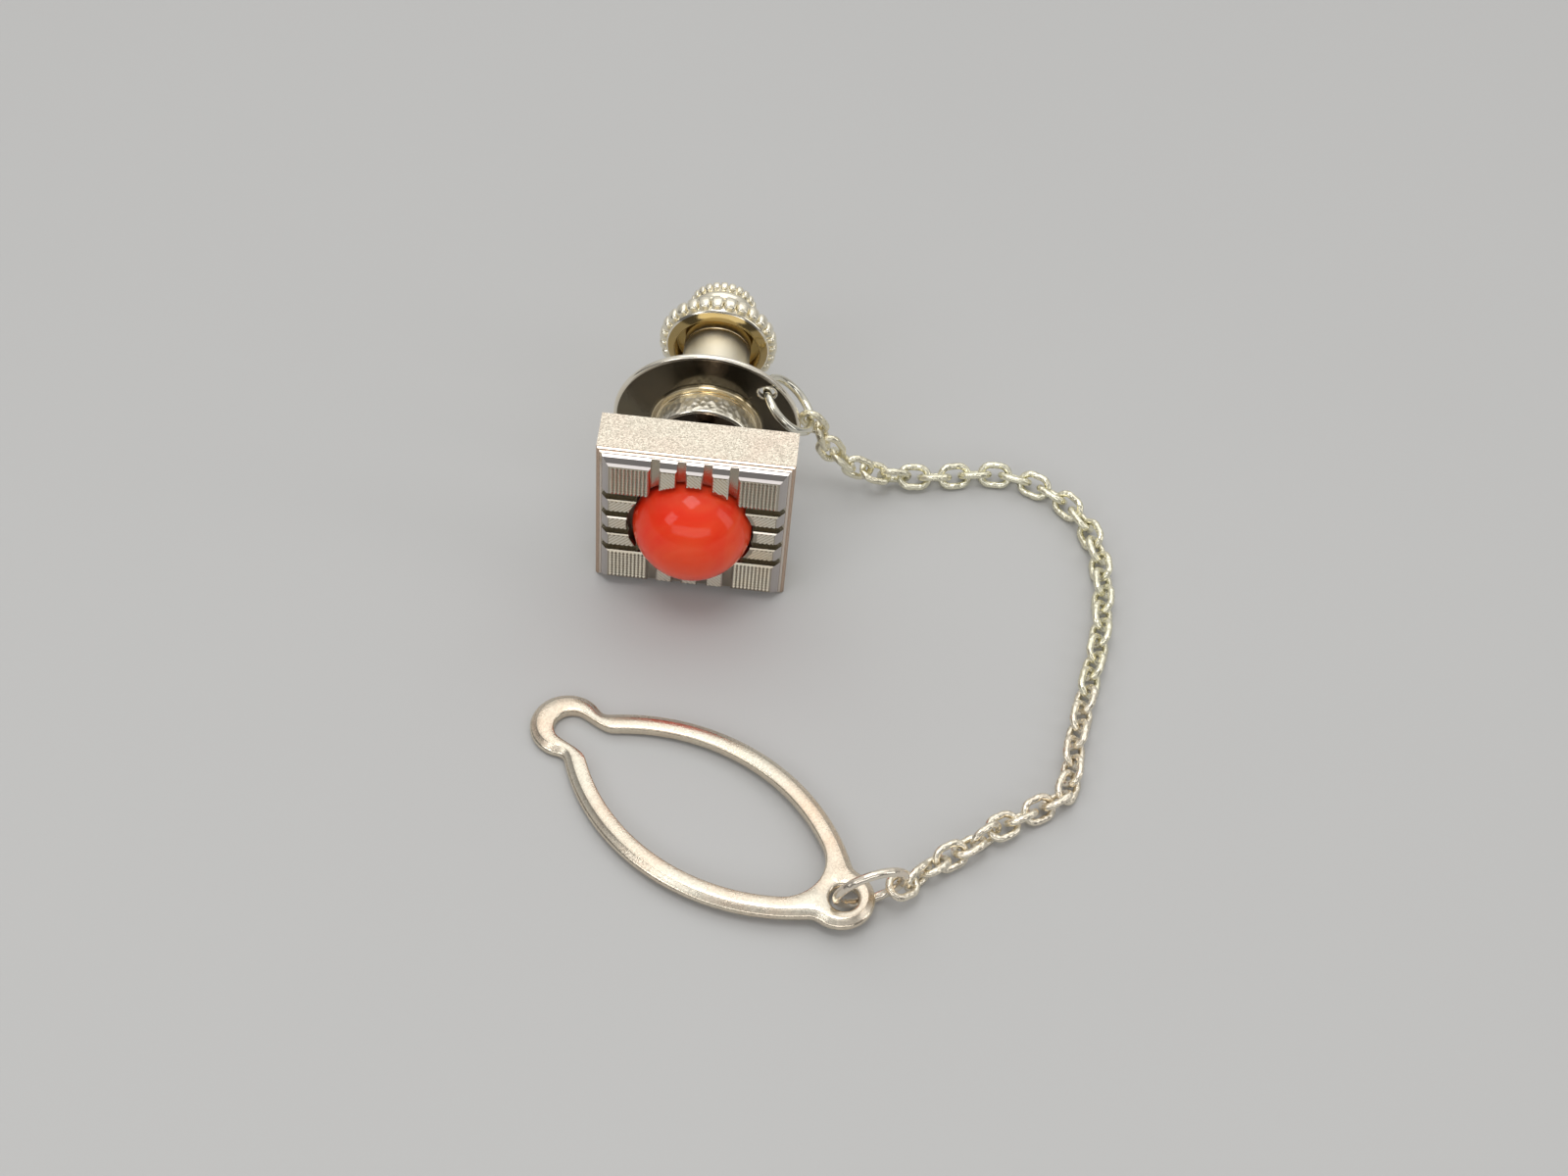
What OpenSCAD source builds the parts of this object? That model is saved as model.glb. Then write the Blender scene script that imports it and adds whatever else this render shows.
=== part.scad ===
// Tie tack: a square face with a domed red stone, a post that pushes into a round clutch
// with a pull knob, and a safety chain that ends in a flat button loop.
// Millimetres. X runs to the right as the face is seen, Y runs back along the post, Z is up.
// The tack stands on the lower wall of its face and on the rim of the clutch disc, with the
// chain and the loop lying in front of and beside it. The origin is under the middle of its box.

/* [Face] */
// Side of the square face
face_side = 11; // [9:0.1:13]
// Depth of the straight side walls
wall_depth = 2.65; // [2.2:0.05:3.2]
// Height of the bevel and the field in front of the walls
bevel_rise = 0.65; // [0.5:0.05:0.9]
// Side of the raised square field inside the bevel
field_side = 9.4; // [9.2:0.1:9.6]
// Width of one slot in the field
slot_w = 0.5; // [0.3:0.05:0.6]
// Distance from one slot to the next
slot_pitch = 1.45; // [1.2:0.05:1.5]
// How far a slot is cut into the field
slot_depth = 0.5; // [0.3:0.05:0.6]

/* [Stone] */
// Diameter of the stone
stone_d = 6.8; // [6:0.1:7]
// Height of the stone's dome above its girdle
stone_rise = 3; // [2.4:0.1:3.2]

/* [Post] */
// Diameter of the post
post_d = 1; // [0.8:0.05:1.1]
// Length of the post behind the face
post_length = 9.6; // [9:0.1:10.2]

/* [Clutch] */
// Diameter of the clutch disc
disc_d = 11; // [10:0.1:11]
// Thickness of the clutch disc
disc_t = 0.35; // [0.3:0.05:0.5]
// Gap between the back of the face and the rim of the collar
grip_gap = 3.2; // [3:0.1:3.5]
// Outer diameter of the collar in front of the disc
collar_d = 5.9; // [5.4:0.1:6.2]
// Depth of the collar in front of the disc
collar_depth = 1.75; // [1.5:0.05:2]
// Diameter of the barrel behind the disc
barrel_d = 4; // [3.6:0.1:4.2]
// Length of the barrel behind the disc
barrel_length = 6.4; // [6.2:0.1:6.6]

/* [Knob] */
// Distance from the back of the disc to the front of the knob
knob_gap = 5.85; // [5.6:0.05:6]
// Diameter over the knob's beaded ring
bead_ring_d = 7.1; // [6.9:0.1:7.3]
// Number of beads round the ring
bead_count = 27; // [22:1:30]
// Diameter of the cap at the knob's end
cap_d = 4.1; // [3.9:0.1:4.3]
// Room behind the post's tip inside the knob's bored stem
tip_room = 3.2; // [3:0.1:3.4]

/* [Chain] */
// Number of chain links
link_count = 43; // [43:1:43]
// Outer length of one link
link_length = 2.16; // [2.1:0.01:2.2]
// Outer width of one link
link_width = 1.62; // [1.55:0.01:1.7]
// Wire diameter of the links
link_wire = 0.4; // [0.3:0.02:0.4]
// Outer diameter of the jump ring in the clutch
clutch_ring_d = 4.1; // [4:0.05:4.15]
// Outer diameter of the jump ring in the button loop
loop_ring_d = 4.25; // [4.2:0.05:4.3]
// Wire diameter of the jump rings
ring_wire = 0.5; // [0.4:0.02:0.5]

/* [Button loop] */
// Width of the loop across its flat sides
loop_width = 10; // [9.6:0.1:10.4]
// Width of the flat band
band_w = 1.15; // [1:0.05:1.25]
// Thickness of the band
band_t = 0.6; // [0.5:0.05:0.6]
// Radius of the loop's long sides, outside
side_radius = 12.6; // [12.4:0.1:12.8]
// Diameter of the eye for the jump ring
eye_d = 1.55; // [1.5:0.05:1.6]

/* [Hidden] */
// Which node is drawn
// Where the floor point under the middle of the face stands in the part's frame
pin_place = [-8.57, 2.418, 0];
// Clearances of the post, the knob's stem, the stone and the links
post_clear = 0.06;
stem_clear = 0.1;
stone_clear = 0.06;
link_clear = 0.08;
// Smooth and fine facet counts of OpenSCAD's own preview
smooth = 72;
fine = 24;
// Small overlap that lets cuts pass their faces
cut = 0.5;

// Face, measured from the plane where bevel and side walls meet
half_side = face_side / 2;
half_field = field_side / 2;
// The thin groove and lip that run round the front of the side walls
lip_depth = 0.05;
lip_inset = 0.04;
groove_depth = 0.1;
groove_inset = 0.12;
// The stone's seat
girdle_h = 0.5;
seat_floor = bevel_rise - 0.45 - girdle_h;
// The post's blunt point
point_length = 0.6;
point_d = 0.25;

// Clutch, as distances behind the plane where bevel and side walls meet
collar_front = wall_depth + grip_gap;
disc_front = collar_front + collar_depth;
disc_back = disc_front + disc_t;
barrel_back = disc_back + barrel_length;
collar_wall = 0.3;
collar_floor = 0.3;
foot_ring_d = collar_d + 0.7;
foot_ring_h = 0.28;
foot_step = 0.1;
// Broken edges of the disc and of the turned parts, and the barrel's flare at the disc
disc_edge = 0.06;
soft_edge = 0.15;
barrel_flare = 0.3;
post_bore_d = post_d + 2 * post_clear;

// Radius of the beads of a ring of outer diameter d, so that they nearly touch
function bead_fit(d, count) = 0.97 * d / 2 * sin(180 / count) / (1 + sin(180 / count));

// Knob, as distances behind the same plane
knob_front = disc_back + knob_gap;
knob_skirt_d = 6.2;
knob_bore_d = 5.1;
// How far the rim of the knob's mouth stands in front of its skirt
mouth_rise = 0.35;
mouth_front = knob_front - mouth_rise;
bead_r = bead_fit(bead_ring_d, bead_count);
// Radius of the groove that the beads sit in, a little under their middles
groove_drop = 0.04;
bead_groove_r = bead_ring_d / 2 - bead_r - groove_drop;
bead_at = knob_front + 0.55;
knob_floor = barrel_back + 0.15;
ring_back = bead_at + 0.6;
neck_d = 3;
neck_fillet = 0.2;
cap_front = ring_back + 1.05;
cap_end = cap_front + 1.65;
cap_bead_count = 24;
cap_bead_r = bead_fit(cap_d, cap_bead_count);
cap_bead_at = cap_end - 0.42;
cap_groove_r = cap_d / 2 - 0.12;
stem_d = 1.8;
stem_front = wall_depth + post_length + 0.7;
// Depth of the barrel's bore for the stem, with some room in front of it
stem_bore_depth = barrel_back - stem_front + 0.3;

// Ring hole in the disc: its distance and angle from the post axis
hole_d = 1;
hole_at = disc_d / 2 - 0.9;
hole_angle = 43;

// Jump rings: radius of the wire's middle line
clutch_ring_r = (clutch_ring_d - ring_wire) / 2;
loop_ring_r = (loop_ring_d - ring_wire) / 2;
// Direction in which the clutch ring hangs from its hole
clutch_ring_dir = [0.74, 0.12, -0.67];
clutch_ring_unit = clutch_ring_dir / norm(clutch_ring_dir);
hole_centre = [
    hole_at * cos(hole_angle),
    (disc_front + disc_back) / 2,
    half_side + hole_at * sin(hole_angle)
];
clutch_ring_centre = hole_centre + clutch_ring_r * clutch_ring_unit;
// The loop ring stands nearly upright in the eye: its centre, turn and lean
loop_ring_turn = 24;
loop_ring_lean = 11;
loop_ring_centre = [11.715, -20.555, ring_wire / 2 + loop_ring_r * cos(loop_ring_lean)];
// How far below level the last link grips it, as an angle
grip_angle = 25;

// Button loop: where its axis starts, how it is turned, and how its ring lifts the eye end
loop_place = [-6.4, -10.65, 0];
loop_turn = -31;
loop_tilt = 1.7;
loop_mid = 10.6;
nub_centre = 1;
nub_r = 2.05;
slot_end = 1.35;
slot_r = 1;
eye_centre = 19.62;
lug_centre = 19.4;
lug_r = 1.85;
arc_offset = side_radius - loop_width / 2;
inner_radius = side_radius - band_w;
inner_end_r = 2.4;
// What lets an arc cross the next line or arc instead of only touching it
clean_cross = 0.03;
inner_end_at = loop_mid + sqrt(pow(inner_radius - inner_end_r, 2) - pow(arc_offset, 2));
inner_tangent_at = loop_mid + (inner_end_at - loop_mid) * inner_radius / (inner_radius - inner_end_r);

// The chain's way in the pin's frame, chosen by hand, from ring to ring
lying = 0.68;
chain_way = concat(
    [clutch_ring_centre, clutch_ring_centre + (clutch_ring_r + 0.3) * clutch_ring_unit],
    [
        [7.45, 8.3, 3.55],
        [9.2, 8.64, 1.9],
        [11.5, 9.2, 0.95],
        [14, 9.65, 0.72],
        [17.6, 10.4, lying],
        [20.6, 9.55, lying],
        [22.9, 7.4, lying],
        [24, 3.9, lying],
        [24, -0.6, lying],
        [23.25, -5, lying],
        [22.5, -9.2, lying],
        [22.15, -12.2, lying],
        [20.3, -13.8, 0.7],
        [18.4, -15.2, 0.82],
        [16.6, -16.8, 0.86],
        [15, -17.95, 0.78]
    ],
    [
        loop_ring_centre + (loop_ring_r + 0.1) * [
            cos(loop_ring_turn) * cos(grip_angle),
            sin(loop_ring_turn) * cos(grip_angle),
            -sin(grip_angle)
        ],
        loop_ring_centre
    ]
);
way_steps = 12;
last_span = len(chain_way) - 2;

// One point of the smooth curve through the way: span i, fraction t
function way_point(i, t) =
    let(
        b = chain_way[i],
        c = chain_way[i + 1],
        a = i == 0 ? 2 * b - c : chain_way[i - 1],
        d = i == last_span ? 2 * c - b : chain_way[i + 2]
    )
    0.5 * (2 * b + t * (c - a) + t * t * (2 * a - 5 * b + 4 * c - d) + t * t * t * (3 * b - a - 3 * c + d));

curve = concat(
    [for (i = [0 : last_span]) for (k = [0 : way_steps - 1]) way_point(i, k / way_steps)],
    [chain_way[last_span + 1]]
);
// Length of the curve up to each of its points
last_point = len(curve) - 1;
function step_after(i) = i < last_point ? norm(curve[i + 1] - curve[i]) : 0;
run = [for (i = 0, s = 0; i <= last_point; s = s + step_after(i), i = i + 1) s];
way_length = run[last_point];
way_x = [for (i = [0 : last_point]) [run[i], curve[i].x]];
way_y = [for (i = [0 : last_point]) [run[i], curve[i].y]];
way_z = [for (i = [0 : last_point]) [run[i], curve[i].z]];
function along(s) = [lookup(s, way_x), lookup(s, way_y), lookup(s, way_z)];

// Links hang taut down to the floor and lie a little closer together before the loop
reach = (link_length - link_wire) / 2 - (link_wire + ring_wire) / 2 - link_clear;
first_at = clutch_ring_r + reach;
last_at = way_length - loop_ring_r - reach;
link_pitch = (last_at - first_at) / (link_count - 1);
link_steps = [[1, 0], [8, 7.2], [32, 31.5], [43, 42.08]];
function link_at(i) = first_at + lookup(i, link_steps) * link_pitch;
// Neighbours are rolled a quarter turn apart, and the chain twists at both its ends
link_twists = [
    [1, 62], [2, 42], [4, 32], [5, 37], [8, 81], [9, 90], [34, 95], [36, 100],
    [37, 120], [38, 145], [39, 168], [40, 183], [41, 172], [42, 144], [43, 117]
];
function link_roll(i) = (i % 2 == 1 ? 45 : -45) + lookup(i, link_twists);

function two_digits(i) = i < 10 ? str("0", i) : str(i);
function link_name(i) = str("link_", two_digits(i));

// Puts a shape drawn with its front towards +Z on the post axis, front towards the viewer
module on_post() {
    translate(pin_place + [0, 0, half_side])
        rotate([90, 0, 0])
            children();
}

// Turns a profile of [radius, distance behind the face] round the post axis
module turned(profile) {
    rotate_extrude($fn = smooth)
        polygon([for (p = profile) [p[0], -p[1]]]);
}

// A square block centred on the post axis between two distances in front of the plane
module block(side, back, front) {
    translate([-side / 2, -side / 2, back])
        cube([side, side, front - back]);
}

// Bar whose section narrows from the full side to the field
module bevel_bar() {
    rotate([90, 0, 0])
        linear_extrude(height = face_side, center = true)
            polygon([
                [-half_side + lip_inset, -lip_depth / 2],
                [half_side - lip_inset, -lip_depth / 2],
                [half_side - lip_inset, 0],
                [half_field, bevel_rise],
                [-half_field, bevel_rise],
                [-half_side + lip_inset, 0]
            ]);
}

// The four slots that run out of the stone's seat on one side
module side_slots() {
    for (k = [-1.5 : 1 : 1.5]) {
        translate([k * slot_pitch - slot_w / 2, stone_d / 4, bevel_rise - slot_depth])
            cube([slot_w, half_side - stone_d / 4 - 0.1, slot_depth + cut]);
    }
}

module face_plate() {
    color("silver")
        on_post() {
            difference() {
                union() {
                    block(face_side, -wall_depth, -lip_depth - groove_depth);
                    block(face_side - 2 * groove_inset, -wall_depth / 2, -lip_depth / 2);
                    block(face_side - 2 * lip_inset, -lip_depth, 0);
                    intersection() {
                        bevel_bar();
                        rotate([0, 0, 90])
                            bevel_bar();
                    }
                    translate([0, 0, -wall_depth - post_length + point_length])
                        cylinder(d = post_d, h = post_length, $fn = fine);
                    translate([0, 0, -wall_depth - post_length])
                        cylinder(d1 = point_d, d2 = post_d, h = point_length, $fn = fine);
                }
                translate([0, 0, seat_floor])
                    cylinder(d = stone_d + 2 * stone_clear, h = 2, $fn = smooth);
                for (turn = [0 : 90 : 270]) {
                    rotate([0, 0, turn])
                        side_slots();
                }
            }
        }
}

// The dome is an arc that meets the girdle: part of a ball with the stone's own radius
module coral_stone() {
    dome_r = (pow(stone_d / 2, 2) + pow(stone_rise, 2)) / (2 * stone_rise);
    girdle_back = seat_floor + stone_clear;
    color("orangered")
        on_post() {
            union() {
                translate([0, 0, girdle_back])
                    cylinder(d = stone_d, h = girdle_h, $fn = smooth);
                intersection() {
                    translate([0, 0, girdle_back + girdle_h + stone_rise - dome_r])
                        sphere(r = dome_r, $fn = smooth);
                    translate([0, 0, girdle_back + girdle_h / 2])
                        cylinder(d = stone_d, h = stone_rise * 2, $fn = smooth);
                }
            }
        }
}

module clutch_body() {
    color("silver")
        on_post() {
            difference() {
                turned([
                    [0, collar_front],
                    [collar_d / 2 - disc_edge, collar_front],
                    [collar_d / 2, collar_front + soft_edge],
                    [collar_d / 2, disc_front - foot_ring_h - soft_edge],
                    [collar_d / 2 + foot_step, disc_front - foot_ring_h],
                    [foot_ring_d / 2, disc_front - foot_ring_h],
                    [foot_ring_d / 2, disc_front],
                    [disc_d / 2 - disc_edge, disc_front],
                    [disc_d / 2, disc_front + disc_edge],
                    [disc_d / 2, disc_back - disc_edge],
                    [disc_d / 2 - disc_edge, disc_back],
                    [barrel_d / 2 + barrel_flare, disc_back],
                    [barrel_d / 2, disc_back + barrel_flare],
                    [barrel_d / 2, barrel_back - soft_edge],
                    [barrel_d / 2 - soft_edge, barrel_back],
                    [0, barrel_back]
                ]);
                translate([0, 0, -disc_front + collar_floor])
                    cylinder(d = collar_d - 2 * collar_wall, h = collar_depth, $fn = smooth);
                translate([0, 0, -barrel_back - cut])
                    cylinder(d = post_bore_d, h = barrel_back - collar_front, $fn = fine);
                translate([0, 0, -barrel_back - cut])
                    cylinder(d = stem_d + 2 * stem_clear, h = stem_bore_depth + cut, $fn = fine);
                translate([hole_at * cos(hole_angle), hole_at * sin(hole_angle), -disc_back - cut])
                    cylinder(d = hole_d, h = disc_t + 2 * cut, $fn = fine);
            }
        }
}

// A ring of small balls round the post axis
module beads(count, ring, r, distance) {
    for (k = [0 : count - 1]) {
        rotate([0, 0, 360 * k / count])
            translate([ring, 0, -distance])
                sphere(r = r, $fn = fine);
    }
}

module pull_knob() {
    color("silver")
        on_post() {
            difference() {
                union() {
                    turned([
                        [knob_bore_d / 2, mouth_front + disc_edge],
                        [knob_bore_d / 2 + disc_edge, mouth_front],
                        [knob_skirt_d / 2, knob_front],
                        [bead_groove_r, knob_front + 0.3],
                        [bead_groove_r, ring_back - neck_fillet],
                        [bead_groove_r - neck_fillet, ring_back],
                        [neck_d / 2 + neck_fillet, ring_back],
                        [neck_d / 2, ring_back + neck_fillet],
                        [neck_d / 2, cap_front - neck_fillet / 2],
                        [cap_d / 2 - 0.25, cap_front],
                        [cap_d / 2, cap_front + 0.35],
                        [cap_groove_r, cap_end - 0.5],
                        [cap_groove_r, cap_end - 0.3],
                        [cap_d / 2 - 0.5, cap_end],
                        [0, cap_end],
                        [0, stem_front],
                        [stem_d / 2, stem_front],
                        [stem_d / 2, knob_floor],
                        [knob_bore_d / 2, knob_floor]
                    ]);
                    beads(bead_count, bead_ring_d / 2 - bead_r, bead_r, bead_at);
                    beads(cap_bead_count, cap_d / 2 - cap_bead_r, cap_bead_r, cap_bead_at);
                }
                translate([0, 0, -wall_depth - post_length - tip_room])
                    cylinder(d = post_bore_d, h = tip_room + cut, $fn = fine);
            }
        }
}

// A round wire bent to a ring in the XY plane
module wire_ring(radius, wire) {
    rotate_extrude($fn = smooth)
        translate([radius, 0])
            circle(d = wire, $fn = fine);
}

// Turns a shape so that its X axis points along a direction, then rolls it about that direction
module aimed(centre, direction, roll) {
    level = norm([direction.x, direction.y]);
    translate(centre)
        rotate([0, -atan2(direction.z, level), atan2(direction.y, direction.x)])
            rotate([roll, 0, 0])
                children();
}

module clutch_ring() {
    color("silver")
        translate(pin_place)
            aimed(clutch_ring_centre, clutch_ring_unit, 0)
                wire_ring(clutch_ring_r, ring_wire);
}

module loop_ring() {
    color("silver")
        translate(pin_place + loop_ring_centre)
            rotate([0, 0, loop_ring_turn])
                rotate([90 + loop_ring_lean, 0, 0])
                    wire_ring(loop_ring_r, ring_wire);
}

// One oval link: two half rings joined by two straight wires
module oval_link() {
    bend_r = (link_width - link_wire) / 2;
    straight = link_length - link_width;
    union() {
        for (end = [-1, 1]) {
            translate([end * straight / 2, 0, 0])
                rotate([0, 0, end > 0 ? -90 : 90])
                    rotate_extrude(angle = 180, $fn = smooth)
                        translate([bend_r, 0])
                            circle(d = link_wire, $fn = fine);
            translate([-straight / 2, end * bend_r, 0])
                rotate([0, 90, 0])
                    cylinder(d = link_wire, h = straight, $fn = fine);
        }
    }
}

module chain_link(i) {
    ahead = along(link_at(i) + link_pitch / 2);
    behind = along(link_at(i) - link_pitch / 2);
    color("gainsboro")
        translate(pin_place)
            aimed((ahead + behind) / 2, ahead - behind, link_roll(i))
                oval_link();
}

// Pointed oval between two arcs
module pointed_oval(radius) {
    intersection() {
        translate([loop_mid, -arc_offset])
            circle(r = radius, $fn = smooth * 2);
        translate([loop_mid, arc_offset])
            circle(r = radius, $fn = smooth * 2);
    }
}

// The opening: a pointed oval with a round end by the eye, and a slot in the nub
module loop_opening() {
    intersection() {
        pointed_oval(inner_radius);
        union() {
            translate([0, -loop_width])
                square([inner_tangent_at, 2 * loop_width]);
            translate([inner_end_at, 0])
                circle(r = inner_end_r + clean_cross, $fn = smooth);
        }
    }
    translate([slot_end, 0])
        circle(r = slot_r, $fn = smooth);
    translate([slot_end, clean_cross / 4 - slot_r])
        square([3, 2 * slot_r - clean_cross / 2]);
}

module button_loop() {
    color("rosybrown")
        translate(pin_place + loop_place)
            rotate([0, 0, loop_turn])
                translate([nub_centre - nub_r, 0, 0])
                    rotate([0, -loop_tilt, 0])
                        translate([nub_r - nub_centre, 0, 0])
                            linear_extrude(height = band_t)
                                difference() {
                                    union() {
                                        pointed_oval(side_radius);
                                        translate([nub_centre, 0])
                                            circle(r = nub_r, $fn = smooth);
                                        translate([lug_centre, 0])
                                            circle(r = lug_r, $fn = smooth);
                                    }
                                    loop_opening();
                                    translate([eye_centre, 0])
                                        circle(d = eye_d, $fn = fine);
                                }
}

face_plate();
coral_stone();
clutch_body();
pull_knob();
clutch_ring();
for (i = [1 : link_count]) chain_link(i);
loop_ring();
button_loop();
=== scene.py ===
"""Looks of the tie tack: square face with a coral stone, clutch with its knob, chain and loop.

Sizes are written in millimetres and turned into metres when a mesh is made. Distances named
"behind" run back along the post from the plane where the bevel meets the side walls.
"""

import logging
import math
from collections.abc import Callable, Sequence
from dataclasses import dataclass
from enum import Enum, IntEnum
from itertools import product
import bmesh  # noqa: E402
import bpy  # noqa: E402
import numpy as np  # noqa: E402
from mathutils import Matrix, Vector, noise  # noqa: E402


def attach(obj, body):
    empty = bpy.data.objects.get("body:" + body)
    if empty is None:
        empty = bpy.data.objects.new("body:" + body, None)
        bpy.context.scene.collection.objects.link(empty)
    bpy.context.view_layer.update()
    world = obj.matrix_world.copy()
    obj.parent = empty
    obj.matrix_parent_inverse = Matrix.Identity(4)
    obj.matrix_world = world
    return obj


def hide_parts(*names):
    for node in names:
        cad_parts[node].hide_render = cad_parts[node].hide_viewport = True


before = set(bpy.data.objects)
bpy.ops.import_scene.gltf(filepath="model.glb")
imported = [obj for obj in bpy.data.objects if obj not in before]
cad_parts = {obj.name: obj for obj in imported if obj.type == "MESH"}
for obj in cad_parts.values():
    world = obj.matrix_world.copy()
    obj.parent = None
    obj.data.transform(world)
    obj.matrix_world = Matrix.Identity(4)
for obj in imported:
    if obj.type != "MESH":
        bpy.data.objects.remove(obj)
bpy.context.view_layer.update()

LOG = logging.getLogger("tie_tack")

# Metres in a millimetre.
MM = 0.001
# Where the post's axis meets the plane, in millimetres.
AXIS = Vector((-8.57, 2.418, 5.5))
# Distance in metres within which points are welded into one.
WELD = 1e-7
# Distance in millimetres from the axis within which a turned ring becomes a single point.
POLE = 1e-4
# Numbers of a Mix node's two colour inputs and of its colour output.
MIX_A, MIX_B, MIX_RESULT = 6, 7, 2

Colour = tuple[float, float, float]
Spot = tuple[float, float]
Place = tuple[float, float, float]
Profile = Sequence[tuple[float, ...]]
# A ring's or link's middle and its long, wide and upright directions.
Lie = tuple[Vector, Vector, Vector, Vector]
# Gives how much a radius grows at a profile point and an angle.
Wobble = Callable[[tuple[float, ...], float], float]
# What a node's input takes: a link or a number.
Value = bpy.types.NodeSocket | float


class Body(Enum):
    """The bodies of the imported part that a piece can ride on."""

    FACE = "face"
    CLUTCH = "clutch"
    KNOB = "knob"


class Grain(Enum):
    """What the surface of a metal does to the light, apart from its polish."""

    SAND = "sand"
    HAMMERED = "hammered"
    DRAWN = "drawn"


# Shader groups

# Smears in the polish for each patch of tint.
SMEARS_PER_PATCH = 2.7
# Coarse specks for each grain of sand.
SPECKS_PER_GRAIN = 0.45
# What a full fleck multiplies the metal's colour by.
DARK_FLECK = (0.42, 0.40, 0.38, 1.0)


def new_group(name: str, inputs: dict[str, object], outputs: dict[str, str]) -> bpy.types.NodeTree:
    """Starts a shader node group with named sockets.

    Args:
        name: Name of the group.
        inputs: Default value of each input, by name; a tuple makes a colour socket.
        outputs: Socket type of each output, by name.

    Returns:
        The empty group, with its input and output nodes in place.
    """
    group = bpy.data.node_groups.new(name, "ShaderNodeTree")
    for label, value in inputs.items():
        kind = "NodeSocketColor" if isinstance(value, tuple) else "NodeSocketFloat"
        socket = group.interface.new_socket(name=label, in_out="INPUT", socket_type=kind)
        socket.default_value = value
    for label, kind in outputs.items():
        group.interface.new_socket(name=label, in_out="OUTPUT", socket_type=kind)
    group.nodes.new("NodeGroupInput").name = "in"
    group.nodes.new("NodeGroupOutput").name = "out"
    return group


class Wiring:
    """Adds nodes to one node tree and joins their sockets."""

    def __init__(self, tree: bpy.types.NodeTree) -> None:
        """Keeps the tree that the nodes go into."""
        self.tree = tree

    def node(self, kind: str, **values: object) -> bpy.types.Node:
        """Adds a node.

        Args:
            kind: Blender's name for the node type, without "ShaderNode".
            **values: Properties of the node, or values of its input sockets by name, in which
                an underscore stands for a space.

        Returns:
            The new node.
        """
        made = self.tree.nodes.new("ShaderNode" + kind)
        for key, value in values.items():
            label = key.replace("_", " ")
            if label in made.inputs:
                made.inputs[label].default_value = value
            else:
                setattr(made, key, value)
        return made

    def join(self, source: bpy.types.NodeSocket, target: bpy.types.NodeSocket) -> None:
        """Links an output to an input."""
        self.tree.links.new(source, target)

    def math(self, operation: str, first: Value, second: Value = 0.0) -> bpy.types.NodeSocket:
        """Adds a Math node.

        Args:
            operation: Name of the operation.
            first: A socket or a number.
            second: A socket or a number.

        Returns:
            The node's output.
        """
        made = self.tree.nodes.new("ShaderNodeMath")
        made.operation = operation
        for slot, value in enumerate((first, second)):
            if isinstance(value, bpy.types.NodeSocket):
                self.join(value, made.inputs[slot])
            else:
                made.inputs[slot].default_value = value
        return made.outputs[0]

    def spread(self, value: Value, low: Value, high: Value) -> bpy.types.NodeSocket:
        """Spreads a value between 0 and 1 over a range.

        Args:
            value: The socket that holds it.
            low: What 0 becomes.
            high: What 1 becomes.

        Returns:
            The output of the Map Range node.
        """
        made = self.tree.nodes.new("ShaderNodeMapRange")
        for label, item in (("Value", value), ("To Min", low), ("To Max", high)):
            if isinstance(item, bpy.types.NodeSocket):
                self.join(item, made.inputs[label])
            else:
                made.inputs[label].default_value = item
        return made.outputs["Result"]


def new_material(name: str) -> tuple[bpy.types.Material, bpy.types.Node, Wiring]:
    """Starts a node material.

    Args:
        name: Name of the material.

    Returns:
        The material, its surface shader, and what wires its nodes.
    """
    made = bpy.data.materials.new(name)
    made.use_nodes = True
    return made, made.node_tree.nodes["Principled BSDF"], Wiring(made.node_tree)


def plating_group() -> bpy.types.NodeTree:
    """Builds the group that lets plated colour and polish wander over a surface.

    Returns:
        A group with the outputs Color and Roughness.
    """
    group = new_group(
        "plating_wander",
        {"Metal": (0.8, 0.8, 0.8, 1.0), "Tint": (0.8, 0.7, 0.6, 1.0), "Tint Amount": 0.3,
         "Patches": 900.0, "Polished": 0.1, "Dull": 0.2},
        {"Color": "NodeSocketColor", "Roughness": "NodeSocketFloat"},
    )
    wire = Wiring(group)
    given, out = group.nodes["in"], group.nodes["out"]
    place = wire.node("TexCoord").outputs["Object"]
    patches = wire.node("TexNoise", Detail=3.0, Roughness=0.55)
    wire.join(place, patches.inputs["Vector"])
    wire.join(given.outputs["Patches"], patches.inputs["Scale"])
    ramp = wire.node("ValToRGB")
    ramp.color_ramp.elements[0].position = 0.42
    ramp.color_ramp.elements[1].position = 0.68
    wire.join(patches.outputs["Fac"], ramp.inputs["Fac"])
    amount = wire.math("MULTIPLY", ramp.outputs["Color"], given.outputs["Tint Amount"])
    mix = wire.node("Mix", data_type="RGBA")
    wire.join(amount, mix.inputs["Factor"])
    wire.join(given.outputs["Metal"], mix.inputs[MIX_A])
    wire.join(given.outputs["Tint"], mix.inputs[MIX_B])
    smears = wire.node("TexNoise", Detail=5.0, Roughness=0.7)
    wire.join(place, smears.inputs["Vector"])
    finer = wire.math("MULTIPLY", given.outputs["Patches"], SMEARS_PER_PATCH)
    wire.join(finer, smears.inputs["Scale"])
    rough = wire.spread(smears.outputs["Fac"], given.outputs["Polished"], given.outputs["Dull"])
    wire.join(mix.outputs[MIX_RESULT], out.inputs["Color"])
    wire.join(rough, out.inputs["Roughness"])
    return group


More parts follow.
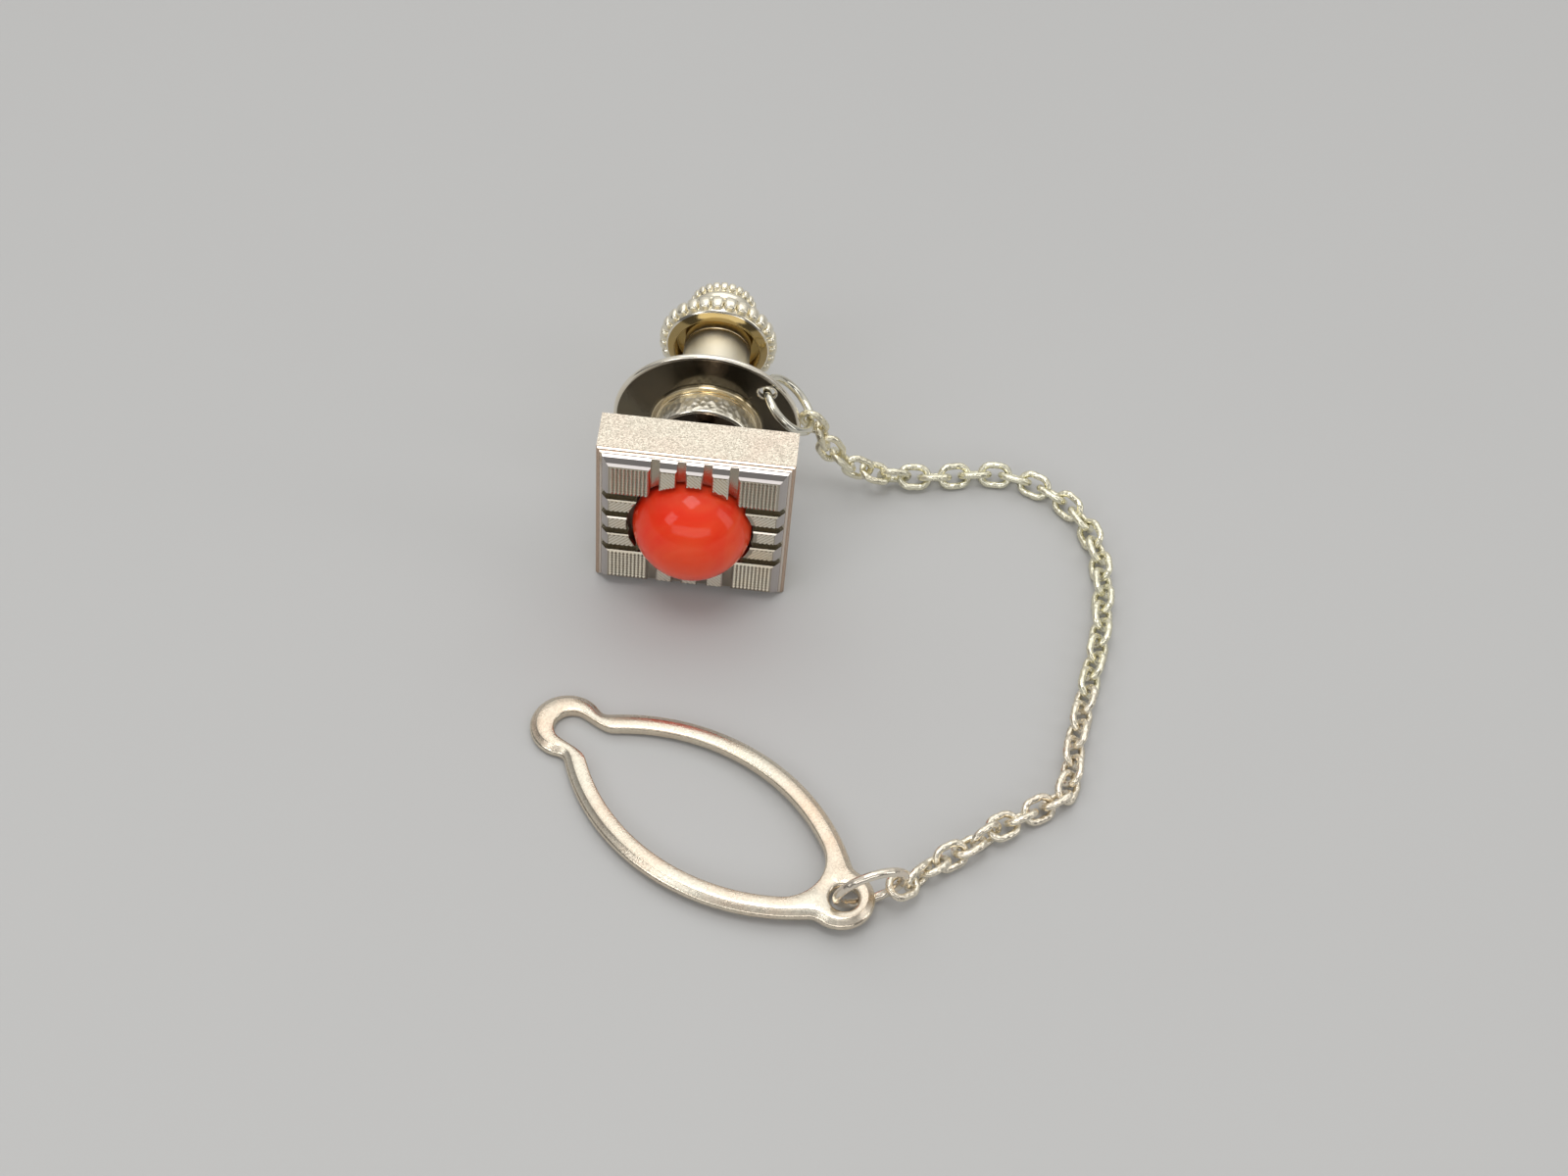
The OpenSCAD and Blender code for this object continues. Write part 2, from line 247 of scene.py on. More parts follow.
def grain_group(grain: Grain) -> bpy.types.NodeTree:
    """Builds the group that gives the fine relief of one kind of grain.

    Args:
        grain: Which kind.

    Returns:
        A group with the outputs Height, from 0 to 1, and Fleck, another for each grain.
    """
    group = new_group(
        "grain_" + grain.value, {"Scale": 8000.0},
        {"Height": "NodeSocketFloat", "Fleck": "NodeSocketFloat"},
    )
    wire = Wiring(group)
    given, out = group.nodes["in"], group.nodes["out"]
    place = wire.node("TexCoord").outputs["Object"]
    if grain is Grain.SAND:
        cells = wire.node("TexVoronoi", feature="F1")
        speckle = wire.node("TexNoise", Detail=2.0)
        for each in (cells, speckle):
            wire.join(place, each.inputs["Vector"])
        wire.join(given.outputs["Scale"], cells.inputs["Scale"])
        coarser = wire.math("MULTIPLY", given.outputs["Scale"], SPECKS_PER_GRAIN)
        wire.join(coarser, speckle.inputs["Scale"])
        height = wire.math("ADD", cells.outputs["Distance"], speckle.outputs["Fac"])
        height = wire.math("MULTIPLY", height, 0.5)
        fleck = cells.outputs["Color"]
    elif grain is Grain.HAMMERED:
        cells = wire.node("TexVoronoi", feature="SMOOTH_F1", Smoothness=0.35)
        wire.join(place, cells.inputs["Vector"])
        wire.join(given.outputs["Scale"], cells.inputs["Scale"])
        height = cells.outputs["Distance"]
        fleck = cells.outputs["Color"]
    else:
        lines = wire.node("TexNoise", Detail=3.0)
        stretch = wire.node("Mapping")
        stretch.inputs["Scale"].default_value = (1.0, 0.06, 1.0)
        wire.join(place, stretch.inputs["Vector"])
        wire.join(stretch.outputs["Vector"], lines.inputs["Vector"])
        wire.join(given.outputs["Scale"], lines.inputs["Scale"])
        height = fleck = lines.outputs["Fac"]
    wire.join(height, out.inputs["Height"])
    wire.join(fleck, out.inputs["Fleck"])
    return group


class Groups:
    """The shared shader groups, each built once."""

    plating: bpy.types.NodeTree
    grains: dict[Grain, bpy.types.NodeTree]

    @classmethod
    def build(cls) -> None:
        """Makes all the groups."""
        cls.plating = plating_group()
        cls.grains = {grain: grain_group(grain) for grain in Grain}


# Finishes


@dataclass(frozen=True)
class PlatedFinish:
    """A plated metal with its tint, polish and grain.

    A greater value of patches makes the patches of tint and polish smaller. Polished and dull
    are the least and the greatest roughness. Flecks is how far single grains are darkened.
    """

    name: str
    metal: Colour
    tint: Colour
    tint_amount: float = 0.3
    patches: float = 900.0
    polished: float = 0.08
    dull: float = 0.2
    grain: Grain = Grain.SAND
    grain_mm: float = 0.1
    grain_depth_mm: float = 0.001
    flecks: float = 0.0

    def material(self) -> bpy.types.Material:
        """Builds the finish as a node material.

        Returns:
            The material.
        """
        made, shader, wire = new_material(self.name)
        made.diffuse_color = (*self.metal, 1.0)
        shader.inputs["Metallic"].default_value = 1.0
        plating = wire.node("Group")
        plating.node_tree = Groups.plating
        plating.inputs["Metal"].default_value = (*self.metal, 1.0)
        plating.inputs["Tint"].default_value = (*self.tint, 1.0)
        plating.inputs["Tint Amount"].default_value = self.tint_amount
        plating.inputs["Patches"].default_value = self.patches
        plating.inputs["Polished"].default_value = self.polished
        plating.inputs["Dull"].default_value = self.dull
        wire.join(plating.outputs["Roughness"], shader.inputs["Roughness"])
        grain = wire.node("Group")
        grain.node_tree = Groups.grains[self.grain]
        grain.inputs["Scale"].default_value = 1.0 / (self.grain_mm * MM)
        dark = wire.node("Mix", data_type="RGBA", blend_type="MULTIPLY")
        amount = wire.math("MULTIPLY", grain.outputs["Fleck"], self.flecks)
        wire.join(amount, dark.inputs["Factor"])
        wire.join(plating.outputs["Color"], dark.inputs[MIX_A])
        dark.inputs[MIX_B].default_value = DARK_FLECK
        wire.join(dark.outputs[MIX_RESULT], shader.inputs["Base Color"])
        bump = wire.node("Bump", Strength=1.0)
        bump.inputs["Distance"].default_value = self.grain_depth_mm * MM
        wire.join(grain.outputs["Height"], bump.inputs["Height"])
        wire.join(bump.outputs["Normal"], shader.inputs["Normal"])
        return made


@dataclass(frozen=True)
class CoralFinish:
    """Polished coral: a deep red that drifts towards orange, under a gloss."""

    name: str
    deep: Colour
    light: Colour
    ior: float = 1.46
    shine: float = 0.29
    glow: float = 0.2
    glow_radius: Colour = (1.0, 0.25, 0.12)
    glow_scale: float = 0.0012
    band_scale: float = 260.0
    speck_scale: float = 2400.0
    polished: float = 0.04
    dull: float = 0.14
    relief: float = 0.35
    relief_mm: float = 0.004

    def material(self) -> bpy.types.Material:
        """Builds the finish as a node material.

        Returns:
            The material.
        """
        made, shader, wire = new_material(self.name)
        made.diffuse_color = (*self.deep, 1.0)
        shader.inputs["IOR"].default_value = self.ior
        shader.inputs["Specular IOR Level"].default_value = self.shine
        shader.inputs["Subsurface Weight"].default_value = self.glow
        shader.inputs["Subsurface Radius"].default_value = self.glow_radius
        shader.inputs["Subsurface Scale"].default_value = self.glow_scale
        place = wire.node("TexCoord").outputs["Object"]
        bands = wire.node(
            "TexNoise", Scale=self.band_scale, Detail=4.0, Roughness=0.5, Distortion=0.6)
        specks = wire.node("TexNoise", Scale=self.speck_scale, Detail=4.0, Roughness=0.6)
        for each in (bands, specks):
            wire.join(place, each.inputs["Vector"])
        ramp = wire.node("ValToRGB")
        ramp.color_ramp.elements[0].position = 0.35
        ramp.color_ramp.elements[0].color = (*self.deep, 1.0)
        ramp.color_ramp.elements[1].position = 0.68
        ramp.color_ramp.elements[1].color = (*self.light, 1.0)
        wire.join(bands.outputs["Fac"], ramp.inputs["Fac"])
        wire.join(ramp.outputs["Color"], shader.inputs["Base Color"])
        rough = wire.spread(specks.outputs["Fac"], self.polished, self.dull)
        wire.join(rough, shader.inputs["Roughness"])
        bump = wire.node("Bump", Strength=self.relief)
        bump.inputs["Distance"].default_value = self.relief_mm * MM
        wire.join(specks.outputs["Fac"], bump.inputs["Height"])
        wire.join(bump.outputs["Normal"], shader.inputs["Normal"])
        return made


@dataclass(frozen=True)
class FloorFinish:
    """The plain pale floor, very slightly clouded."""

    name: str
    colour: Colour
    cloud_scale: float = 30.0
    cloud_dim: float = 0.97
    roughness: float = 0.7

    def material(self) -> bpy.types.Material:
        """Builds the finish as a node material.

        Returns:
            The material.
        """
        made, shader, wire = new_material(self.name)
        place = wire.node("TexCoord").outputs["Object"]
        cloud = wire.node("TexNoise", Scale=self.cloud_scale, Detail=3.0)
        wire.join(place, cloud.inputs["Vector"])
        mix = wire.node("Mix", data_type="RGBA")
        mix.inputs[MIX_A].default_value = (*self.colour, 1.0)
        mix.inputs[MIX_B].default_value = (*(self.cloud_dim * c for c in self.colour), 1.0)
        wire.join(cloud.outputs["Fac"], mix.inputs["Factor"])
        wire.join(mix.outputs[MIX_RESULT], shader.inputs["Base Color"])
        shader.inputs["Roughness"].default_value = self.roughness
        return made


Finish = PlatedFinish | CoralFinish | FloorFinish

SAND_WALL = PlatedFinish(
    "sandblasted_wall", metal=(0.88, 0.81, 0.68), tint=(0.88, 0.72, 0.60), tint_amount=0.45,
    patches=420.0, polished=0.14, dull=0.32, grain=Grain.SAND, grain_mm=0.08,
    grain_depth_mm=0.018, flecks=0.85)
GROOVE_COPPER = PlatedFinish(
    "groove_copper_tint", metal=(0.54, 0.40, 0.30), tint=(0.60, 0.46, 0.35), tint_amount=0.6,
    patches=1200.0, polished=0.15, dull=0.3)
# Lighter polished metal of the lip, also given to rounded edges and slot flares as painted
# highlight against the darkened field and slots.
LIP_BRIGHT = PlatedFinish(
    "lip_bright", metal=(0.72, 0.65, 0.57), tint=(0.70, 0.57, 0.48), tint_amount=0.35,
    patches=600.0, polished=0.06, dull=0.14)
# Bevel metal, darker and purplish: a painted reflection of a dark object held in front of the face.
BEVEL_PAINTED_REFLECTION = PlatedFinish(
    "bevel_mirror", metal=(0.50, 0.465, 0.44), tint=(0.46, 0.41, 0.42), tint_amount=0.5,
    patches=500.0, polished=0.05, dull=0.12)
# Field and knurl metal, darkened: a painted reflection of the dark table in front of the face.
FIELD_PAINTED_DARK = PlatedFinish(
    "field_plate", metal=(0.40, 0.365, 0.295), tint=(0.44, 0.37, 0.28), tint_amount=0.5,
    patches=900.0, polished=0.12, dull=0.26, grain=Grain.SAND, grain_mm=0.06,
    grain_depth_mm=0.002)
HATCH_PLATE = PlatedFinish(
    "hatched_plate", metal=(0.72, 0.67, 0.57), tint=(0.74, 0.64, 0.50), tint_amount=0.5,
    patches=900.0, polished=0.10, dull=0.2, grain=Grain.SAND, grain_mm=0.06,
    grain_depth_mm=0.002)
# Slot walls and floors, darkened: painted shade inside the slots.
SLOT_WALL_PAINTED_SHADE = PlatedFinish(
    "slot_wall", metal=(0.44, 0.41, 0.34), tint=(0.48, 0.41, 0.30), tint_amount=0.4,
    patches=1500.0, polished=0.10, dull=0.22, grain=Grain.DRAWN, grain_mm=0.08,
    grain_depth_mm=0.004)
# Dark red-brown metal of the seat: painted shade in the narrow recess round the stone.
SEAT_PAINTED_SHADE = PlatedFinish(
    "seat_recess", metal=(0.18, 0.11, 0.09), tint=(0.24, 0.12, 0.08), tint_amount=0.5,
    patches=1500.0, polished=0.3, dull=0.5)
BACK_PLATE = PlatedFinish(
    "face_back", metal=(0.66, 0.63, 0.60), tint=(0.68, 0.60, 0.52), tint_amount=0.4,
    patches=500.0, polished=0.16, dull=0.3, grain=Grain.DRAWN, grain_mm=0.12,
    grain_depth_mm=0.004)
POST_COPPER = PlatedFinish(
    "post_copper_tint", metal=(0.72, 0.60, 0.50), tint=(0.74, 0.50, 0.36), tint_amount=0.6,
    patches=900.0, polished=0.14, dull=0.28, grain=Grain.DRAWN, grain_mm=0.08,
    grain_depth_mm=0.003)
# Near-black disc face: a painted reflection of dark surroundings on the polished disc.
DISC_PAINTED_DARK_REFLECTION = PlatedFinish(
    "disc_dark_mirror", metal=(0.155, 0.138, 0.105), tint=(0.23, 0.19, 0.12), tint_amount=0.4,
    patches=350.0, polished=0.07, dull=0.16, grain=Grain.SAND, grain_mm=0.25,
    grain_depth_mm=0.002)
RIM_BRIGHT = PlatedFinish(
    "rim_bright", metal=(0.90, 0.85, 0.74), tint=(0.88, 0.77, 0.57), tint_amount=0.35,
    patches=700.0, polished=0.08, dull=0.18)
COLLAR_CRIMPED = PlatedFinish(
    "collar_crimped", metal=(0.98, 0.93, 0.80), tint=(0.96, 0.87, 0.66), tint_amount=0.4,
    patches=1300.0, polished=0.34, dull=0.48, grain=Grain.HAMMERED, grain_mm=0.36,
    grain_depth_mm=0.08)
# Near-black inside of the collar's mouth, the bore and the stem ends: painted shade in the hollows.
MOUTH_PAINTED_SHADE = PlatedFinish(
    "mouth_dark", metal=(0.10, 0.085, 0.065), tint=(0.16, 0.10, 0.06), tint_amount=0.5,
    patches=900.0, polished=0.2, dull=0.4)
# Gold of the foot ring between collar and disc: a painted reflection of the collar and barrel in
# the disc. The barrel's groove takes the same gold.
FOOT_GOLD = PlatedFinish(
    "foot_gold_tint", metal=(0.78, 0.68, 0.48), tint=(0.80, 0.62, 0.34), tint_amount=0.6,
    patches=900.0, polished=0.10, dull=0.22)
BARREL_POLISH = PlatedFinish(
    "barrel_polish", metal=(0.97, 0.91, 0.75), tint=(0.95, 0.82, 0.54), tint_amount=0.5,
    patches=420.0, polished=0.26, dull=0.40, grain=Grain.DRAWN, grain_mm=0.12,
    grain_depth_mm=0.004)
# Knob front: gold-tinted metal darkened to bronze, the darkness a painted reflection of dark
# surroundings.
KNOB_BRONZE_PAINTED_DARK = PlatedFinish(
    "knob_front_bronze", metal=(0.42, 0.31, 0.135), tint=(0.50, 0.35, 0.12), tint_amount=0.5,
    patches=500.0, polished=0.07, dull=0.16)
MOUTH_GOLD = PlatedFinish(
    "knob_mouth_gold", metal=(0.62, 0.46, 0.20), tint=(0.68, 0.48, 0.16), tint_amount=0.5,
    patches=500.0, polished=0.12, dull=0.24)
KNOB_POLISH = PlatedFinish(
    "knob_polish", metal=(0.88, 0.83, 0.69), tint=(0.86, 0.74, 0.48), tint_amount=0.35,
    patches=700.0, polished=0.10, dull=0.22)
BEAD_POLISH = PlatedFinish(
    "bead_polish", metal=(0.92, 0.87, 0.73), tint=(0.88, 0.79, 0.56), tint_amount=0.35,
    patches=900.0, polished=0.18, dull=0.32, grain=Grain.HAMMERED, grain_mm=0.24,
    grain_depth_mm=0.010)
RING_POLISH = PlatedFinish(
    "ring_polish", metal=(0.80, 0.78, 0.68), tint=(0.78, 0.70, 0.52), tint_amount=0.35,
    patches=700.0, polished=0.09, dull=0.2, grain=Grain.DRAWN, grain_mm=0.1,
    grain_depth_mm=0.003)
LINK_CUT = PlatedFinish(
    "link_cut", metal=(0.88, 0.85, 0.67), tint=(0.87, 0.77, 0.58), tint_amount=0.4,
    patches=130.0, polished=0.2, dull=0.34, grain=Grain.HAMMERED, grain_mm=0.26,
    grain_depth_mm=0.045)
LINK_WARM = PlatedFinish(
    "link_cut_warm", metal=(0.89, 0.825, 0.68), tint=(0.88, 0.74, 0.60), tint_amount=0.4,
    patches=130.0, polished=0.2, dull=0.34, grain=Grain.HAMMERED, grain_mm=0.26,
    grain_depth_mm=0.045)
LOOP_RING_CUT = PlatedFinish(
    "loop_ring_cut", metal=(0.87, 0.80, 0.68), tint=(0.85, 0.71, 0.59), tint_amount=0.4,
    patches=500.0, polished=0.16, dull=0.3, grain=Grain.HAMMERED, grain_mm=0.5,
    grain_depth_mm=0.05)
LOOP_GRAIN = PlatedFinish(
    "loop_grained_top", metal=(0.86, 0.80, 0.67), tint=(0.88, 0.68, 0.51), tint_amount=0.8,
    patches=260.0, polished=0.2, dull=0.36, grain=Grain.SAND, grain_mm=0.075,
    grain_depth_mm=0.012, flecks=0.45)
LOOP_EDGE = PlatedFinish(
    "loop_bright_edge", metal=(0.88, 0.79, 0.64), tint=(0.87, 0.70, 0.54), tint_amount=0.45,
    patches=300.0, polished=0.16, dull=0.3, grain=Grain.SAND, grain_mm=0.12,
    grain_depth_mm=0.01, flecks=0.35)
CORAL = CoralFinish("coral_polish", deep=(0.94, 0.042, 0.014), light=(0.99, 0.12, 0.04))
PALE_FLOOR = FloorFinish("pale_floor", colour=(0.52, 0.52, 0.515))


# Meshes


def put_in_scene(name: str, data: bpy.types.ID) -> bpy.types.Object:
    """Makes an object and links it to the scene.

    Args:
        name: Name of the object.
        data: Its mesh, lamp or camera.

    Returns:
        The object.
    """
    made = bpy.data.objects.new(name, data)
    bpy.context.scene.collection.objects.link(made)
    return made


def as_mesh(work: bmesh.types.BMesh, name: str) -> bpy.types.Mesh:
    """Turns a working mesh into a mesh, and frees it.

    Args:
        work: The working mesh.
        name: Name of the mesh.

    Returns:
        The mesh.
    """
    made = bpy.data.meshes.new(name)
    work.to_mesh(made)
    work.free()
    return made


class Shell:
    """Points and faces of one piece, in millimetres, with a finish number for each face."""

    def __init__(self) -> None:
        """Starts with nothing."""
        self.points: list[Vector] = []
        self.faces: list[tuple[int, ...]] = []
        self.finishes: list[int] = []

    def add(
        self, points: Sequence[Vector], faces: Sequence[Sequence[int]], finish: int = 0,
    ) -> None:
        """Adds points, and faces that count them from 0.

        Args:
            points: The new points.
            faces: The new faces.
            finish: Number of their finish.
        """
        start = len(self.points)
        self.points.extend(Vector(p) for p in points)
        self.faces.extend(tuple(start + i for i in face) for face in faces)
        self.finishes.extend([finish] * len(faces))

    def skin(
        self, rings: Sequence[Sequence[Vector]], finishes: Sequence[int] | None = None,
        loop: bool = False, lids: bool = False,
    ) -> None:
        """Joins closed rings of points, one after another.

        Args:
            rings: Rings with the same number of points, or with one point for a pole.
            finishes: Finish number of each band between two rings.
            loop: Whether the last ring joins the first.
            lids: Whether the first and the last ring are closed by a face each.
        """
        start = len(self.points)
        firsts: list[int] = []
        for ring in rings:
            firsts.append(start)
            self.points.extend(Vector(p) for p in ring)
            start += len(ring)
        bands = len(rings) if loop else len(rings) - 1
        for band in range(bands):
            after = (band + 1) % len(rings)
            a, b = firsts[band], firsts[after]
            na, nb = len(rings[band]), len(rings[after])
            count = max(na, nb)
            for i in range(count):
                j = (i + 1) % count
                quad = [a + i % na, a + j % na, b + j % nb, b + i % nb]
                self.faces.append(tuple(p for k, p in enumerate(quad) if p != quad[k - 1]))
                self.finishes.append(finishes[band] if finishes else 0)
        if lids:
            near = range(firsts[0], firsts[0] + len(rings[0]))
            far = range(firsts[-1], firsts[-1] + len(rings[-1]))
            self.faces += [tuple(near), tuple(reversed(far))]
            self.finishes += [0, 0]

    def mesh(self, name: str, weld: bool = False) -> bpy.types.Mesh:
        """Makes a mesh of the points and faces, with the faces turned outwards.

        Args:
            name: Name of the mesh.
            weld: Whether points in the same place become one.

        Returns:
            The mesh, in metres.
        """
        made = bpy.data.meshes.new(name)
        made.from_pydata([p * MM for p in self.points], [], self.faces)
        made.polygons.foreach_set("material_index", self.finishes)
        work = bmesh.new()
        work.from_mesh(made)
        if weld:
            bmesh.ops.remove_doubles(work, verts=work.verts, dist=WELD)
        bmesh.ops.recalc_face_normals(work, faces=work.faces)
        work.to_mesh(made)
        work.free()
        return made

    def make(
        self, name: str, body: Body, finishes: Sequence[Finish],
        sharp: float | None = 35.0,
    ) -> bpy.types.Object:
        """Makes the welded mesh and dresses it as a piece; dress describes the arguments."""
        return dress(self.mesh(name, weld=True), name, body, finishes, sharp)


def dress(
    mesh: bpy.types.Mesh, name: str, body: Body, finishes: Sequence[Finish],
    sharp: float | None = 35.0,
) -> bpy.types.Object:
    """Puts a mesh into the scene with its finishes and its body.

    Args:
        mesh: The finished mesh, in metres.
        name: Name of the piece.
        body: The body it rides on.
        finishes: Its finishes, by face number.
        sharp: Angle in degrees above which an edge stays sharp, or None for flat faces.

    Returns:
        The new object.
    """
    numbers = [face.material_index for face in mesh.polygons]
    mesh.materials.clear()
    for finish in finishes:
        mesh.materials.append(bpy.data.materials.get(finish.name) or finish.material())
    mesh.polygons.foreach_set("material_index", numbers)
    mesh.polygons.foreach_set("use_smooth", [sharp is not None] * len(mesh.polygons))
    if sharp is not None:
        mesh.set_sharp_from_angle(angle=math.radians(sharp))
    mesh.update()
    piece = put_in_scene(name, mesh)
    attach(piece, body.value)
    LOG.info("%s: %d faces, on %s", name, len(mesh.polygons), body.value)
    return piece


def beside_post(radius: float, angle: float, behind: float) -> Vector:
    """Gives a point at a radius and an angle round the post axis, from the right upwards."""
    return AXIS + Vector((radius * math.cos(angle), behind, radius * math.sin(angle)))


def on_face(u: float, v: float, height: float) -> Vector:
    """Gives a point of the face: u to the right, v up, height in front of the plane."""
    return AXIS + Vector((u, -height, v))


# Share of an edge that the rounding of a corner may take up.
EDGE_SHARE = 0.45


def softened(
    profile: Profile, radius: float, steps: int = 3, closed: bool = False,
) -> list[tuple[float, ...]]:
    """Rounds the corners of a profile.

    Args:
        profile: Points, each with the number of its finish as an optional third value.
        radius: How far from a corner the rounding starts, at most.
        steps: Number of short edges that a corner becomes.
        closed: Whether the last point joins the first.

    Returns:
        The points with their corners rounded.
    """
    made = []
    count = len(profile)
    for i, item in enumerate(profile):
        here = np.array(item[:2], float)
        rest = tuple(item[2:])
        if not closed and i in (0, count - 1):
            made.append((*here, *rest))
            continue
        before = np.array(profile[i - 1][:2], float)
        after = np.array(profile[(i + 1) % count][:2], float)
        gap_in, gap_out = np.linalg.norm(here - before), np.linalg.norm(after - here)
        reach = min(radius, EDGE_SHARE * gap_in, EDGE_SHARE * gap_out)
        start = here + (before - here) / gap_in * reach
        end = here + (after - here) / gap_out * reach
        for k in range(steps + 1):
            t = k / steps
            spot = (1 - t) ** 2 * start + 2 * t * (1 - t) * here + t * t * end
            made.append((*spot, *rest))
    return made


def turned_rings(
    profile: Profile, steps: int, wobble: Wobble | None = None,
) -> list[list[Vector]]:
    """Turns a profile round the post axis.

    Args:
        profile: Points as radius and distance behind the plane.
        steps: Number of points round the axis.
        wobble: Gives a radius offset for a profile point and an angle.

    Returns:
        One ring of points for each profile point.
    """
    rings = []
    for item in profile:
        radius, behind = item[0], item[1]
        if radius < POLE:
            rings.append([beside_post(0.0, 0.0, behind)])
            continue
        ring = []
        for k in range(steps):
            angle = math.tau * k / steps
            extra = wobble(item, angle) if wobble else 0.0
            ring.append(beside_post(radius + extra, angle, behind))
        rings.append(ring)
    return rings


def cut_away(mesh: bpy.types.Mesh, cutters: Sequence[bpy.types.Mesh]) -> bpy.types.Mesh:
    """Takes closed meshes away from a closed mesh.

    Args:
        mesh: What is cut.
        cutters: What is taken away, one after another.

    Returns:
        The cut mesh.
    """
    holder = put_in_scene("cut_holder", mesh)
    tools = []
    for number, cutter in enumerate(cutters):
        tool = put_in_scene(f"cutter_{number}", cutter)
        tools.append(tool)
        step = holder.modifiers.new(f"cut_{number}", "BOOLEAN")
        step.operation = "DIFFERENCE"
        step.solver = "EXACT"
        step.object = tool
    bpy.context.view_layer.update()
    seen = holder.evaluated_get(bpy.context.evaluated_depsgraph_get())
    result = bpy.data.meshes.new_from_object(seen)
    for each in [holder, *tools]:
        bpy.data.objects.remove(each)
    return result


def rod_mesh(start: Vector, end: Vector, radius: float, steps: int) -> bpy.types.Mesh:
    """Makes a plain rod between two points.

    Args:
        start: Middle of one end, in millimetres.
        end: Middle of the other end.
        radius: Its radius.
        steps: Number of sides.

    Returns:
        The mesh, in metres.
    """
    work = bmesh.new()
    along = end - start
    turn = along.to_track_quat("Z", "Y").to_matrix().to_4x4()
    matrix = Matrix.Translation((start + end) / 2 * MM) @ turn
    bmesh.ops.create_cone(
        work, cap_ends=True, segments=steps, radius1=radius * MM, radius2=radius * MM,
        depth=along.length * MM, matrix=matrix)
    return as_mesh(work, "rod")


# The face

# Cosines between a surface and an axis: facing forward, square to it, facing up, and flared.
FORWARD, SQUARE, UPWARD, FLARED = 0.9, 0.98, 0.7, 0.3


class FacePart(IntEnum):
    """The surfaces of the face, each with a finish of its own."""

    WALL = 0
    GROOVE = 1
    LIP = 2
    BEVEL = 3
    FIELD = 4
    SLOT = 5
    SEAT = 6
    BACK = 7


FACE_FINISHES = {
    FacePart.WALL: SAND_WALL,
    FacePart.GROOVE: GROOVE_COPPER,
    FacePart.LIP: LIP_BRIGHT,
    FacePart.BEVEL: BEVEL_PAINTED_REFLECTION,
    FacePart.FIELD: FIELD_PAINTED_DARK,
    FacePart.SLOT: SLOT_WALL_PAINTED_SHADE,
    FacePart.SEAT: SEAT_PAINTED_SHADE,
    FacePart.BACK: BACK_PLATE,
}


